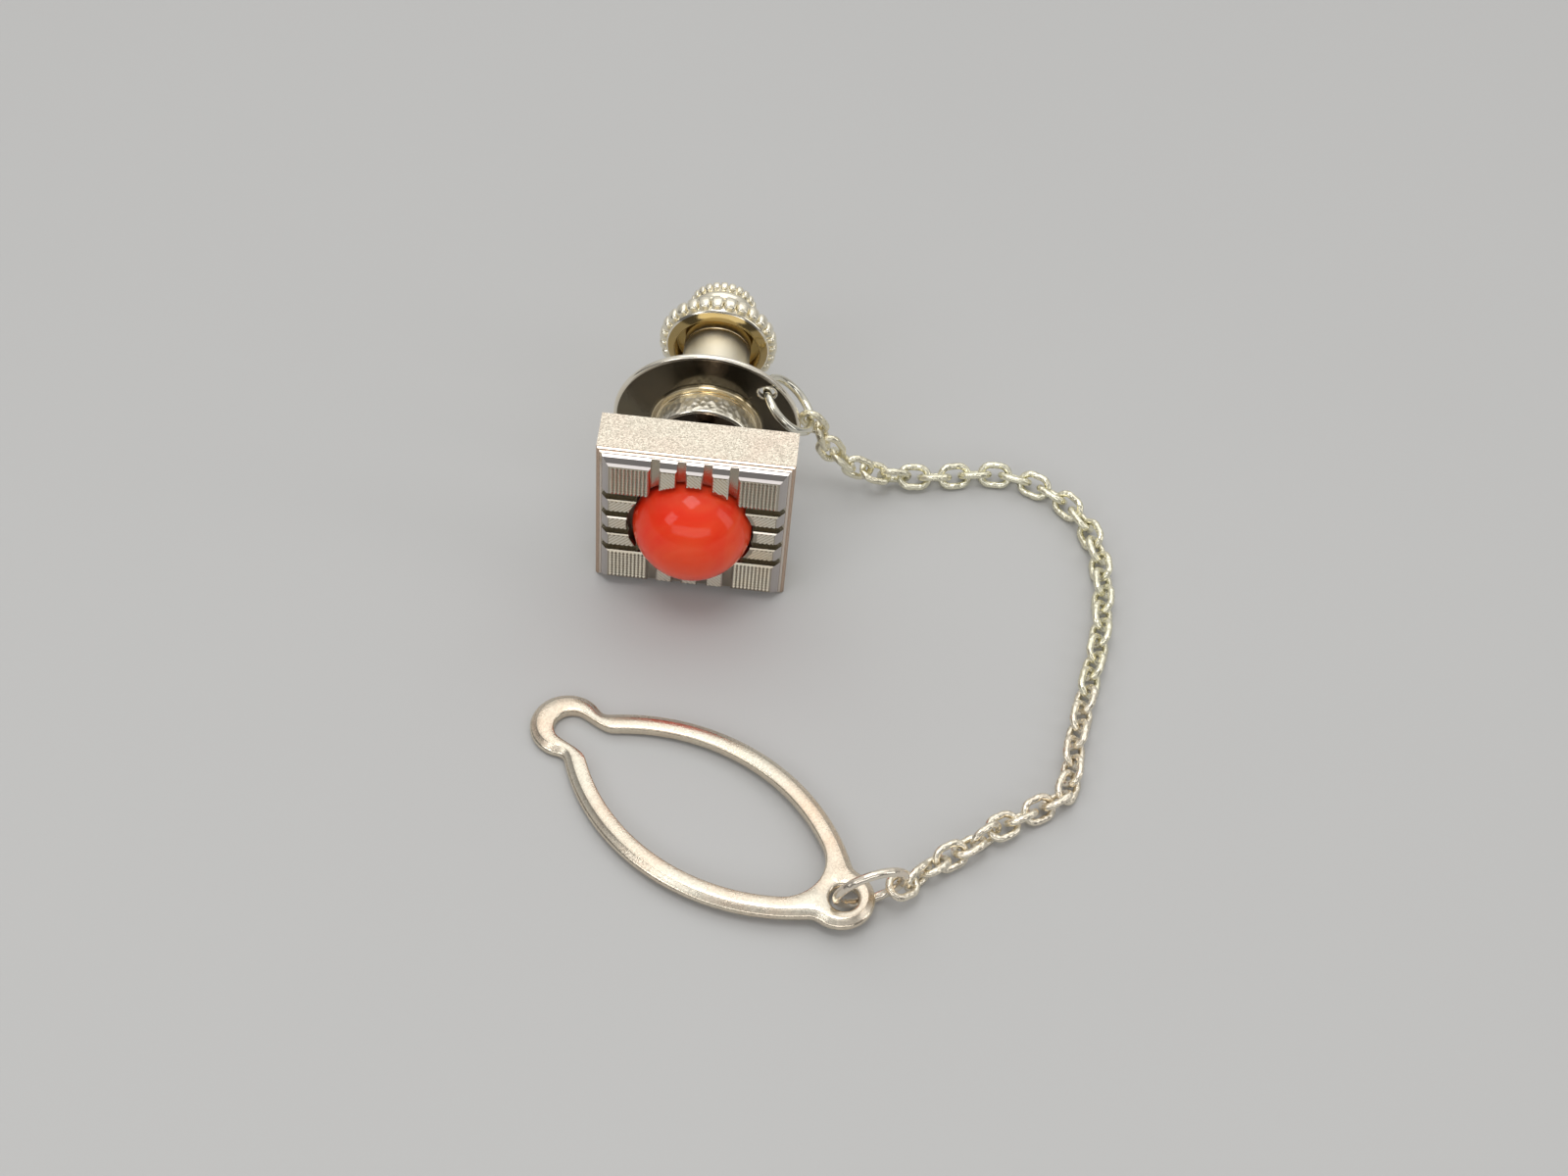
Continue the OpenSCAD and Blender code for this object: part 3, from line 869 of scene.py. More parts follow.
@dataclass
class FaceHead:
    """The square face: walls, lip, bevel, slotted and knurled field, and the post."""

    half_side: float = 5.5
    wall_depth: float = 2.65
    back_edge: float = 0.05
    half_field: float = 4.7
    field_margin: float = 0.03
    rise: float = 0.64
    # Edges of the stepped lip: distance in from the side, and height.
    lip: tuple[Spot, ...] = (
        (0.0, -0.13), (0.04, -0.13), (0.053, -0.09), (0.08, -0.01), (0.17, 0.0),
        (0.197, 0.045), (0.24, 0.12), (0.32, 0.125), (0.40, 0.27))
    # Edges of the bevel: distance out from the field, and height above it.
    bevel: tuple[Spot, ...] = ((0.18, -0.12), (0.03, -0.004), (0.0, 0.0))
    # Heights where the lip's first wall ends, and height ranges where its upward-facing side takes
    # the copper finish.
    wall_top: float = -0.12
    upward_copper_heights: tuple[Spot, ...] = ((-0.12, -0.09), (0.0, 0.045))
    lip_width: float = 0.32
    slot_floor: float = 0.15
    slot_width: float = 0.5
    slot_flare: float = 0.08
    flare_slope: float = 0.85
    slot_inset: float = 0.3
    slot_pitch: float = 1.45
    slot_places: tuple[float, ...] = (-1.5, -0.5, 0.5, 1.5)
    seat_radius: float = 3.6
    seat_shift: float = -0.1
    seat_floor: float = -0.3
    seat_top: float = 2.0
    seat_steps: int = 96
    # How near to a size a surface still counts as part of it.
    seat_slack: float = 0.02
    floor_slack: float = 0.01
    field_slack: float = 0.03
    ledge_top: float = 0.05
    edge_round: float = 0.02
    edge_angle: float = 25.0
    crease_angle: float = 7.0
    knurl_pitch: float = 0.225
    knurl_height: float = 0.096
    knurl_root: float = 0.005
    knurl_clear: float = 0.05
    hatch_places: tuple[float, ...] = (-1.0, 0.0, 1.0)
    hatch_pitch: float = 0.18
    hatch_height: float = 0.05
    hatch_lift: float = 0.003
    hatch_root: float = 0.06
    hatch_clear: float = 0.12
    hatch_pieces: int = 6
    post_radius: float = 0.5
    post_length: float = 9.6
    post_rounding: float = 0.08
    post_steps: int = 40

    def build(self) -> None:
        """Makes all the pieces of the face and hides its plain solid."""
        body = self.walls()
        self.knurls()
        self.hatching()
        self.post()
        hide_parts("face_plate")

    def levels(self) -> list[Spot]:
        """Gives the square outline's half side at each height.

        Returns:
            Half sides and heights, from the back to the field.
        """
        half, back = self.half_side, -self.wall_depth
        levels = [(half - self.back_edge, back), (half, back + self.back_edge)]
        levels += [(half - inward, height) for inward, height in self.lip]
        levels += [(self.half_field + out, self.rise + height) for out, height in self.bevel]
        return levels

    def part_at(self, centre: Vector, normal: Vector) -> FacePart:
        """Finds which part of the surface one face of the cut body belongs to.

        Args:
            centre: Middle of the face, in millimetres.
            normal: Its outward direction.

        Returns:
            The part.
        """
        u, v = centre.x - AXIS.x, centre.z - AXIS.z
        height = AXIS.y - centre.y
        side = max(abs(u), abs(v))
        forward = abs(normal.y)
        if height < self.back_edge - self.wall_depth:
            return FacePart.BACK
        in_seat = math.hypot(u - self.seat_shift, v) < self.seat_radius + self.seat_slack
        if in_seat and height < self.slot_floor - self.floor_slack:
            return FacePart.SEAT
        if height <= self.wall_top:
            return FacePart.WALL if forward < FORWARD else FacePart.GROOVE
        if side > self.half_side - self.lip_width:
            ledge = forward > FORWARD and height < self.ledge_top
            upward_copper = normal.z > UPWARD and any(low < height < top for low, top in self.upward_copper_heights)
            return FacePart.GROOVE if ledge or upward_copper else FacePart.LIP
        sloping = forward < SQUARE and side > self.half_field - self.floor_slack
        if sloping and max(abs(normal.x), abs(normal.z)) < SQUARE:
            return FacePart.BEVEL
        if height > self.rise - self.field_slack:
            return FacePart.FIELD
        # Slot flares take the lip's lighter finish as painted highlight; the rest of the slot takes
        # the darkened slot finish as painted shade.
        return FacePart.LIP if FLARED < forward < SQUARE else FacePart.SLOT

    def walls(self) -> bpy.types.Object:
        """Builds the body of the face, cut by its slots and the stone's seat.

        Returns:
            The piece.
        """
        rings = []
        for half, height in self.levels():
            corners = [(-half, -half), (half, -half), (half, half), (-half, half)]
            rings.append([on_face(u, v, height) for u, v in corners])
        shell = Shell()
        shell.skin(rings, lids=True)
        plain = shell.mesh("face_body")
        floor = on_face(self.seat_shift, 0, self.seat_floor)
        above = on_face(self.seat_shift, 0, self.seat_top)
        seat = rod_mesh(floor, above, self.seat_radius, self.seat_steps)
        cut = cut_away(plain, [self.slot_cutters(True), self.slot_cutters(False), seat])
        for face in cut.polygons:
            face.material_index = self.part_at(face.center / MM, face.normal)
        finishes = list(FACE_FINISHES.values())
        piece = dress(cut, "face_body", Body.FACE, finishes, self.crease_angle)
        self.soften(piece)
        return piece

    def soften(self, piece: bpy.types.Object) -> None:
        """Rounds the sharp edges a little, so that they catch the light, and gives the rounding the
        lip's lighter finish as painted highlight.

        Args:
            piece: The body of the face.
        """
        edges = piece.modifiers.new("soft_edges", "BEVEL")
        edges.width = self.edge_round * MM
        edges.segments = 2
        # The rounding takes the lip's lighter finish rather than the darkened field's or slots':
        # painted highlight along the edges.
        edges.material = FacePart.LIP
        edges.limit_method = "ANGLE"
        edges.angle_limit = math.radians(self.edge_angle)
        edges.use_clamp_overlap = True
        edges.harden_normals = True

    def slot_cutters(self, level: bool) -> bpy.types.Mesh:
        """Makes what cuts the slots of one direction, flared where they break the field's edge.

        Args:
            level: Whether the slots run from left to right.

        Returns:
            The mesh, in metres.
        """
        half, beyond = self.slot_width / 2, 0.06
        low = self.rise - self.slot_flare * self.flare_slope
        high = self.rise + beyond
        wide = half + self.slot_flare + beyond / self.flare_slope
        top = high + 1.0
        section = [
            (half, self.slot_floor), (half, low), (wide, high), (wide, top),
            (-wide, top), (-wide, high), (-half, low), (-half, self.slot_floor)]
        reach = self.half_side - self.slot_inset
        shell = Shell()
        for place in self.slot_places:
            middle = place * self.slot_pitch
            rings = []
            for end in (-reach, reach):
                spots = [(end, middle + w, h) for w, h in section]
                rings.append([on_face(a, b, h) if level else on_face(b, a, h) for a, b, h in spots])
            shell.skin(rings, lids=True)
        return shell.mesh("slot_cutters")

    def knurls(self) -> None:
        """Lays rows of fine pyramids on the four corners of the field."""
        start = self.slot_places[-1] * self.slot_pitch + self.slot_width / 2 + self.slot_flare
        span = self.half_field - self.field_margin - start
        count = round(span / self.knurl_pitch)
        pitch = span / count
        base, tip = self.rise - self.knurl_root, self.rise + self.knurl_height
        sides = [(0, 1, 4), (1, 2, 4), (2, 3, 4), (3, 0, 4), (0, 3, 2, 1)]
        shell = Shell()
        for way_u, way_v, i, j in product((-1, 1), (-1, 1), range(count), range(count)):
            u, v = start + i * pitch, start + j * pitch
            middle_u, middle_v = u + pitch / 2, v + pitch / 2
            if math.hypot(middle_u, middle_v) < self.seat_radius + self.knurl_clear:
                continue
            spots = [(u, v), (u + pitch, v), (u + pitch, v + pitch), (u, v + pitch)]
            points = [on_face(way_u * a, way_v * b, base) for a, b in spots]
            shell.add([*points, on_face(way_u * middle_u, way_v * middle_v, tip)], sides)
        # The knurls take the darkened field finish, a painted reflection.
        shell.make("face_knurling", Body.FACE, [FIELD_PAINTED_DARK], sharp=None)

    def hatching(self) -> None:
        """Lays slanting ridges on the blocks between the slots."""
        work = bmesh.new()
        for quarter in range(4):
            turn = Matrix.Rotation(quarter * math.pi / 2, 2)
            for place in self.hatch_places:
                self.hatch_block(work, turn, place * self.slot_pitch)
        mesh = as_mesh(work, "face_hatching")
        dress(mesh, "face_hatching", Body.FACE, [HATCH_PLATE], sharp=None)

    def block_outline(self, middle: float) -> list[Spot]:
        """Gives the outline of a block between two slots, from the stone's seat to the bevel.

        Args:
            middle: How far the block lies off the middle of its side.

        Returns:
            The corners, in order.
        """
        half = (self.slot_pitch - self.slot_width) / 2 - self.slot_flare
        radius, pieces = self.seat_radius + self.hatch_clear, self.hatch_pieces
        sides = [middle - half + 2 * half * k / pieces for k in range(pieces + 1)]
        edge = self.half_field - self.field_margin
        outline = [(u, math.sqrt(radius * radius - u * u)) for u in sides]
        return [*outline, (sides[-1], edge), (sides[0], edge)]

    def hatch_block(self, work: bmesh.types.BMesh, turn: Matrix, middle: float) -> None:
        """Adds the ridges of one block.

        Args:
            work: The mesh that they go into.
            turn: Which of the four sides the block is on.
            middle: How far the block lies off the middle of its side.
        """
        outline = self.block_outline(middle)
        block = bmesh.new()
        block.faces.new([block.verts.new((u, v, 0.0)) for u, v in outline])
        slant = Vector((1.0, 1.0, 0.0)).normalized()
        reach = [Vector((u, v, 0.0)).dot(slant) for u, v in outline]
        step = self.hatch_pitch / 2
        for k in range(math.floor(min(reach) / step), math.ceil(max(reach) / step) + 1):
            parts = [*block.verts, *block.edges, *block.faces]
            bmesh.ops.bisect_plane(
                block, geom=parts, dist=1e-6, plane_co=slant * (k * step), plane_no=slant)
        for vert in block.verts:
            phase = abs((vert.co.dot(slant) / self.hatch_pitch) % 1.0 - 0.5) * 2
            vert.co.z = self.rise + self.hatch_lift + self.hatch_height * phase
        rim = [edge for edge in block.edges if edge.is_boundary]
        for item in bmesh.ops.extrude_edge_only(block, edges=rim)["geom"]:
            if isinstance(item, bmesh.types.BMVert):
                item.co.z = self.rise - self.hatch_root
        bmesh.ops.recalc_face_normals(block, faces=block.faces)
        up = max(block.faces, key=lambda face: face.calc_center_median().z)
        if up.normal.z < 0:
            bmesh.ops.reverse_faces(block, faces=block.faces)
        known = {}
        for vert in block.verts:
            flat = turn @ Vector((vert.co.x, vert.co.y))
            known[vert] = work.verts.new(on_face(flat.x, flat.y, vert.co.z) * MM)
        for face in block.faces:
            work.faces.new([known[vert] for vert in face.verts])
        block.free()

    def post(self) -> None:
        """Builds the post with its point and the solder at its foot."""
        back, radius = self.wall_depth, self.post_radius
        tip = back + self.post_length
        profile = [
            (radius + 0.42, back - 0.05), (radius + 0.36, back + 0.08),
            (radius + 0.12, back + 0.2), (radius, back + 0.42),
            (radius, tip - 0.62), (radius - 0.1, tip - 0.5), (0.14, tip - 0.04), (0.0, tip),
        ]
        shell = Shell()
        shell.skin(turned_rings(softened(profile, self.post_rounding), self.post_steps))
        shell.make("face_post", Body.FACE, [POST_COPPER])


@dataclass
class CoralStone:
    """The domed stone, slightly uneven as cut coral is."""

    radius: float = 3.4
    foot_height: float = -0.24
    foot_edge: float = 0.1
    girdle: float = 0.5
    girdle_edge: float = 0.06
    rise: float = 3.0
    unevenness: float = 0.02
    waves: float = 0.7
    steps: int = 128
    dome_rings: int = 40

    def profile(self) -> list[Spot]:
        """Gives the stone's outline.

        Returns:
            Radius and distance of each point, from the middle of the foot to the top.
        """
        foot, top = self.foot_height, self.foot_height + self.girdle
        ball = (self.radius ** 2 + self.rise ** 2) / (2 * self.rise)
        centre = top + self.rise - ball
        low = math.asin(min(1.0, (top - centre) / ball))
        profile = [
            (0.0, -foot), (self.radius - self.foot_edge, -foot),
            (self.radius, -foot - self.foot_edge), (self.radius, -top + self.girdle_edge)]
        for k in range(1, self.dome_rings):
            angle = low + (math.pi / 2 - low) * k / self.dome_rings
            profile.append((ball * math.cos(angle), -(centre + ball * math.sin(angle))))
        return [*profile, (0.0, -(centre + ball))]

    def uneven(self, item: tuple[float, ...], angle: float) -> float:
        """Gives how much the stone's radius grows at a point of its profile and an angle."""
        spot = beside_post(item[0], angle, item[1])
        return self.unevenness * (noise.noise(spot * self.waves) - 0.5) * min(1.0, item[0])

    def build(self) -> None:
        """Makes the stone and hides its plain solid."""
        shell = Shell()
        shell.skin(turned_rings(self.profile(), self.steps, self.uneven))
        stone = shell.make("coral_dome", Body.FACE, [CORAL], sharp=50.0)
        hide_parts("coral_stone")


# The clutch


class ClutchPart(IntEnum):
    """The surfaces of the clutch, each with a finish of its own."""

    MOUTH = 0
    RIM = 1
    COLLAR = 2
    FOOT = 3
    DISC = 4
    BARREL = 5
    GROOVE = 6


CLUTCH_FINISHES = {
    ClutchPart.MOUTH: MOUTH_PAINTED_SHADE,
    ClutchPart.RIM: RIM_BRIGHT,
    ClutchPart.COLLAR: COLLAR_CRIMPED,
    ClutchPart.FOOT: FOOT_GOLD,
    ClutchPart.DISC: DISC_PAINTED_DARK_REFLECTION,
    ClutchPart.BARREL: BARREL_POLISH,
    ClutchPart.GROOVE: FOOT_GOLD,
}


@dataclass
class Clutch:
    """The turned clutch: collar with its mouth, disc with the ring's hole, and barrel."""

    collar_front: float = 5.85
    collar_radius: float = 2.95
    mouth_radius: float = 2.65
    disc_front: float = 7.6
    disc_thickness: float = 0.35
    disc_radius: float = 5.5
    barrel_radius: float = 2.0
    barrel_end: float = 14.35
    bore_radius: float = 0.56
    stem_radius: float = 1.0
    stem_start: float = 12.65
    hole_radius: float = 0.5
    hole_distance: float = 4.6
    hole_angle: float = 43.0
    hole_steps: int = 32
    crimp: float = 0.03
    crimp_waves: Spot = (9.0, 4.0)
    crimp_shift: float = 1.0
    rounding: float = 0.05
    steps: int = 144
    # Section of the rim round the hole: distance out from the hole, and height above the disc.
    rim: tuple[Spot, ...] = ((0.0, -0.05), (0.0, 0.015), (0.05, 0.03), (0.11, 0.0), (0.12, -0.05))
    rim_steps: int = 40

    def profile(self) -> list[tuple[float, float, ClutchPart]]:
        """Gives the turned outline.

        Returns:
            Radius and distance of each point, and the part that follows it.
        """
        part = ClutchPart
        front, back = self.disc_front, self.disc_front + self.disc_thickness
        collar, foot = self.collar_radius, self.collar_radius + 0.35
        mouth, mouth_front = self.mouth_radius, self.collar_front
        disc, barrel, end = self.disc_radius, self.barrel_radius, self.barrel_end
        return [
            (self.bore_radius, front - 0.3, part.MOUTH), (mouth - 0.05, front - 0.3, part.MOUTH),
            (mouth, mouth_front + 0.12, part.RIM), (mouth + 0.06, mouth_front, part.RIM),
            (collar - 0.06, mouth_front, part.RIM), (collar, mouth_front + 0.12, part.COLLAR),
            (collar + 0.01, front - 0.42, part.FOOT), (collar - 0.05, front - 0.34, part.FOOT),
            (collar + 0.02, front - 0.28, part.FOOT), (foot - 0.04, front - 0.28, part.FOOT),
            (foot, front - 0.16, part.FOOT), (foot, front, part.DISC),
            (disc - 0.16, front, part.RIM), (disc - 0.05, front + 0.01, part.RIM),
            (disc, front + 0.1, part.RIM), (disc, back - 0.07, part.RIM),
            (disc - 0.07, back, part.BARREL), (barrel + 0.35, back, part.BARREL),
            (barrel, back + 0.32, part.BARREL), (barrel, end - 0.9, part.GROOVE),
            (barrel - 0.04, end - 0.84, part.GROOVE), (barrel, end - 0.78, part.BARREL),
            (barrel, end - 0.16, part.BARREL), (barrel - 0.16, end, part.BARREL),
            (self.stem_radius, end, part.MOUTH), (self.stem_radius, self.stem_start, part.MOUTH),
            (self.bore_radius, self.stem_start, part.MOUTH),
        ]

    def crimped(self, item: tuple[float, ...], angle: float) -> float:
        """Lets the collar's outside run slightly uneven, as if crimped.

        Args:
            item: Point of the profile.
            angle: Angle round the axis.

        Returns:
            How much the radius grows there.
        """
        outside = self.collar_radius - 0.03 < item[0] < self.collar_radius + 0.05
        if not outside or not self.collar_front + 0.2 < item[1] < self.disc_front - 0.4:
            return 0.0
        many, few = self.crimp_waves
        return self.crimp * math.sin(many * angle) * math.sin(few * angle + self.crimp_shift)

    def build(self) -> None:
        """Makes the clutch and the rim of its hole, and hides its plain solid."""
        profile = softened(self.profile(), self.rounding, 2, closed=True)
        shell = Shell()
        rings = turned_rings(profile, self.steps, self.crimped)
        shell.skin(rings, [item[2] for item in profile], loop=True)
        plain = shell.mesh("clutch_turned")
        finishes = list(CLUTCH_FINISHES.values())
        for _ in finishes:
            plain.materials.append(None)
        angle = math.radians(self.hole_angle)
        front = beside_post(self.hole_distance, angle, self.disc_front - 1.0)
        back = beside_post(self.hole_distance, angle, self.disc_front + 1.0)
        cut = cut_away(plain, [rod_mesh(front, back, self.hole_radius, self.hole_steps)])
        piece = dress(cut, "clutch_turned", Body.CLUTCH, finishes, sharp=30.0)
        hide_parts("clutch_body")
        self.hole_rim()

    def hole_rim(self) -> None:
        """Lays a fine raised rim round the ring's hole, on both sides of the disc."""
        centre = beside_post(self.hole_distance, math.radians(self.hole_angle), 0.0)
        inner = self.hole_radius - 0.005
        shell = Shell()
        for behind, away in ((self.disc_front, -1.0), (self.disc_front + self.disc_thickness, 1.0)):
            rings = []
            for reach, lift in self.rim:
                ring = []
                for k in range(self.rim_steps):
                    angle = math.tau * k / self.rim_steps
                    radius = inner + reach
                    spot = centre + Vector((radius * math.cos(angle), 0, radius * math.sin(angle)))
                    ring.append(spot + Vector((0, behind + away * lift, 0)))
                rings.append(ring)
            shell.skin(rings, loop=True)
        shell.make("clutch_hole_rim", Body.CLUTCH, [RIM_BRIGHT])


class KnobPart(IntEnum):
    """The surfaces of the knob, each with a finish of its own."""

    FRONT = 0
    RIM = 1
    BACK = 2
    MOUTH = 3


KNOB_FINISHES = {
    KnobPart.FRONT: KNOB_BRONZE_PAINTED_DARK,
    KnobPart.RIM: RIM_BRIGHT,
    KnobPart.BACK: KNOB_POLISH,
    KnobPart.MOUTH: MOUTH_GOLD,
}


@dataclass(frozen=True)
class BeadRow:
    """A row of squarish beads round the post axis."""

    name: str
    count: int
    ring_radius: float
    bead_radius: float
    behind: float
    fullness: float = 0.65
    stretch_along: float = 1.28
    stretch_across: float = 1.04
    rings: int = 10
    sides: int = 20

    def fuller(self, value: float) -> float:
        """Pushes a sine or cosine outwards, so that a ball turns into a squarer lobe."""
        return math.copysign(abs(value) ** self.fullness, value)

    def bead(self, angle: float) -> list[list[Vector]]:
        """Gives the rings of points of one bead.

        Args:
            angle: Its place round the axis, in radians.

        Returns:
            One ring of points for each step along the post.
        """
        middle = beside_post(self.ring_radius, angle, self.behind)
        out = Vector((math.cos(angle), 0.0, math.sin(angle)))
        side = Vector((-math.sin(angle), 0.0, math.cos(angle)))
        rings = []
        for i in range(self.rings + 1):
            tilt = math.pi * (i / self.rings - 0.5)
            reach = self.bead_radius * self.fuller(math.cos(tilt))
            lift = self.stretch_along * self.bead_radius * self.fuller(math.sin(tilt))
            ring = []
            for j in range(self.sides):
                turn = math.tau * j / self.sides
                outward = out * (reach * self.fuller(math.cos(turn)))
                sideways = side * (self.stretch_across * reach * self.fuller(math.sin(turn)))
                ring.append(middle + outward + sideways + Vector((0.0, lift, 0.0)))
            rings.append(ring)
        return rings

    def build(self) -> None:
        """Makes the row as one piece."""
        shell = Shell()
        for k in range(self.count):
            shell.skin(self.bead(math.tau * k / self.count))
        shell.make(self.name, Body.KNOB, [BEAD_POLISH], sharp=60.0)


@dataclass
class PullKnob:
    """The beaded pull knob with its neck, cap and stem."""

    front: float = 13.8
    lip: float = 0.35
    mouth_radius: float = 2.55
    skirt_radius: float = 3.1
    groove_radius: float = 3.19
    floor: float = 14.5
    ring_back: float = 14.95
    neck_radius: float = 1.5
    cap_front: float = 16.0
    cap_end: float = 17.65
    cap_radius: float = 2.05
    dimple_radius: float = 0.9
    stem_radius: float = 0.9
    stem_front: float = 12.95
    bead_radius: float = 0.36
    bead_count: int = 27
    bead_setback: float = 0.55
    cap_bead_radius: float = 0.22
    cap_bead_count: int = 24
    cap_bead_setback: float = 0.42
    bore_radius: float = 0.56
    bore_end: float = 15.45
    rounding: float = 0.06
    steps: int = 112

    def profile(self) -> list[tuple[float, float, KnobPart]]:
        """Gives the turned outline.

        Returns:
            Radius and distance of each point, and the part that follows it.
        """
        part = KnobPart
        front, back, mouth = self.front, self.ring_back, self.mouth_radius
        skirt, groove, neck = self.skirt_radius, self.groove_radius, self.neck_radius
        cap, cap_front, cap_end = self.cap_radius, self.cap_front, self.cap_end
        return [
            (0.0, self.bore_end, part.MOUTH), (self.bore_radius, self.bore_end, part.MOUTH),
            (self.bore_radius, self.stem_front, part.MOUTH),
            (self.stem_radius, self.stem_front, part.MOUTH),
            (self.stem_radius, self.floor, part.MOUTH), (mouth, self.floor, part.MOUTH),
            (mouth, front - self.lip + 0.07, part.RIM),
            (mouth + 0.07, front - self.lip, part.FRONT),
            (skirt - 0.06, front, part.RIM), (skirt, front + 0.06, part.BACK),
            (groove, front + 0.28, part.BACK), (groove, back - 0.22, part.BACK),
            (groove - 0.25, back, part.BACK), (neck + 0.3, back + 0.02, part.BACK),
            (neck, back + 0.28, part.BACK), (neck, cap_front - 0.16, part.BACK),
            (neck + 0.12, cap_front - 0.06, part.BACK), (cap - 0.3, cap_front, part.BACK),
            (cap - 0.05, cap_front + 0.18, part.BACK), (cap, cap_front + 0.4, part.BACK),
            (cap - 0.02, cap_front + 0.62, part.BACK), (cap - 0.16, cap_front + 0.78, part.BACK),
            (cap - 0.18, cap_end - 0.32, part.BACK), (cap - 0.36, cap_end - 0.12, part.BACK),
            (cap - 0.62, cap_end, part.BACK), (self.dimple_radius, cap_end, part.BACK),
            (0.0, cap_end - 0.04, part.BACK),
        ]

    def build(self) -> None:
        """Makes the knob's pieces and hides its plain solid."""
        profile = softened(self.profile(), self.rounding, 2)
        shell = Shell()
        shell.skin(turned_rings(profile, self.steps), [item[2] for item in profile])
        finishes = list(KNOB_FINISHES.values())
        knob = shell.make("knob_turned", Body.KNOB, finishes, sharp=40.0)
        BeadRow(
            "knob_beads", self.bead_count, self.groove_radius, self.bead_radius,
            self.front + self.bead_setback).build()
        BeadRow(
            "knob_cap_beads", self.cap_bead_count, self.cap_radius - self.cap_bead_radius,
            self.cap_bead_radius, self.cap_end - self.cap_bead_setback).build()
        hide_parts("pull_knob")


# Rings and chain

# How finely the wire's dents follow each other, and the height that leaves its radius as it is.
DENTS_PER_MM = 3.0
MEAN_DENT = 0.4


def lie_of(node: str) -> Lie:
    """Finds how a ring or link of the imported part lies.

    Args:
        node: Name of the node.

    Returns:
        Its middle in millimetres, its long, wide and upright directions.
    """
    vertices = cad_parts[node].data.vertices
    points = np.array([vertex.co[:] for vertex in vertices]) / MM
    low, high = points.min(0), points.max(0)
    middle = (low + high) / 2
    spread = points - points.mean(0)
    _, axes = np.linalg.eigh(spread.T @ spread)
    upright, wide, long = (Vector(axes[:, k]) for k in range(3))
    return Vector(middle), long, wide, upright


@dataclass
class WireLoop:
    """A ring or link of wire, with straight sides if it is longer than wide."""

    half_length: float
    half_width: float
    wire: float
    steps: int
    sides: int
    uneven: float = 0.0
    seed: int = 0

    def midline(self) -> list[tuple[float, float, float, float]]:
        """Gives the wire's middle line.

        Returns:
            Points along and across the loop, each with its outward direction.
        """
        bend = self.half_width - self.wire / 2
        straight = self.half_length - self.half_width
        arc = math.pi * bend
        total = 2 * arc + 4 * straight
        points = []
        for k in range(self.steps):
            run = total * k / self.steps
            for end in (1.0, -1.0):
                if run < arc:
                    angle = -math.pi / 2 + run / bend + (0.0 if end > 0 else math.pi)
                    points.append((
                        end * straight + bend * math.cos(angle), bend * math.sin(angle),
                        math.cos(angle), math.sin(angle)))
                    break
                run -= arc
                if run < 2 * straight:
                    points.append((end * (straight - run), end * bend, 0.0, end))
                    break
                run -= 2 * straight
        return points

    def rings(self, lie: Lie) -> list[list[Vector]]:
        """Lays the wire's section along its middle line.

        Args:
            lie: Middle and directions of the loop.

        Returns:
            One ring of points for each step.
        """
        middle, long, wide, upright = lie
        shift = Vector((self.seed, 0, 0))
        made = []
        for along, across, out_x, out_y in self.midline():
            spot = middle + long * along + wide * across
            out = long * out_x + wide * out_y
            ring = []
            for k in range(self.sides):
                turn = math.tau * k / self.sides
                side = out * math.cos(turn) + upright * math.sin(turn)
                dent = noise.noise((spot + side * self.wire / 2) * DENTS_PER_MM + shift)
                swell = 1.0 + self.uneven * (dent - MEAN_DENT)
                ring.append(spot + side * (self.wire / 2 * swell))
            made.append(ring)
        return made

    def lay(self, node: str, piece_name: str, finish: Finish) -> None:
        """Makes the loop where a node lies, and hides the node's plain solid.

        Args:
            node: Name of the node.
            piece_name: Name of the new piece.
            finish: Its finish.
        """
        shell = Shell()
        shell.skin(self.rings(lie_of(node)), loop=True)
        piece = shell.make(piece_name, Body.CLUTCH, [finish], sharp=80.0)
        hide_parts(node)


@dataclass
class SafetyChain:
    """The oval links and the two jump rings at the chain's ends."""

    links: int = 43
    warm_from: int = 28
    link_half_length: float = 1.08
    link_half_width: float = 0.81
    link_wire: float = 0.42
    link_uneven: float = 0.09
    link_steps: int = 40
    link_sides: int = 12
    clutch_ring_radius: float = 2.05
    loop_ring_radius: float = 2.125
    loop_ring_uneven: float = 0.02
    loop_ring_seed: int = 99
    ring_wire: float = 0.5
    ring_steps: int = 72
    clutch_ring_sides: int = 20
    loop_ring_sides: int = 16

    def build(self) -> None:
        """Makes the links and rings and hides their plain solids."""
        for number in range(1, self.links + 1):
            node = f"link_{number:02d}"
            link = WireLoop(
                self.link_half_length, self.link_half_width, self.link_wire,
                self.link_steps, self.link_sides, self.link_uneven, number)
            link.lay(node, f"{node}_cut", LINK_CUT if number < self.warm_from else LINK_WARM)
        radius = self.clutch_ring_radius
        ring = WireLoop(radius, radius, self.ring_wire, self.ring_steps, self.clutch_ring_sides)
        ring.lay("clutch_ring", "clutch_ring_round", RING_POLISH)
        radius = self.loop_ring_radius
        ring = WireLoop(
            radius, radius, self.ring_wire, self.ring_steps, self.loop_ring_sides,
            self.loop_ring_uneven, self.loop_ring_seed)
        ring.lay("loop_ring", "loop_ring_cut", LOOP_RING_CUT)


# The button loop


class LoopPart(IntEnum):
    """The surfaces of the loop, each with a finish of its own."""

    TOP = 0
    EDGE = 1


LOOP_FINISHES = {LoopPart.TOP: LOOP_GRAIN, LoopPart.EDGE: LOOP_EDGE}
Rim = list[tuple[float, float, LoopPart]]


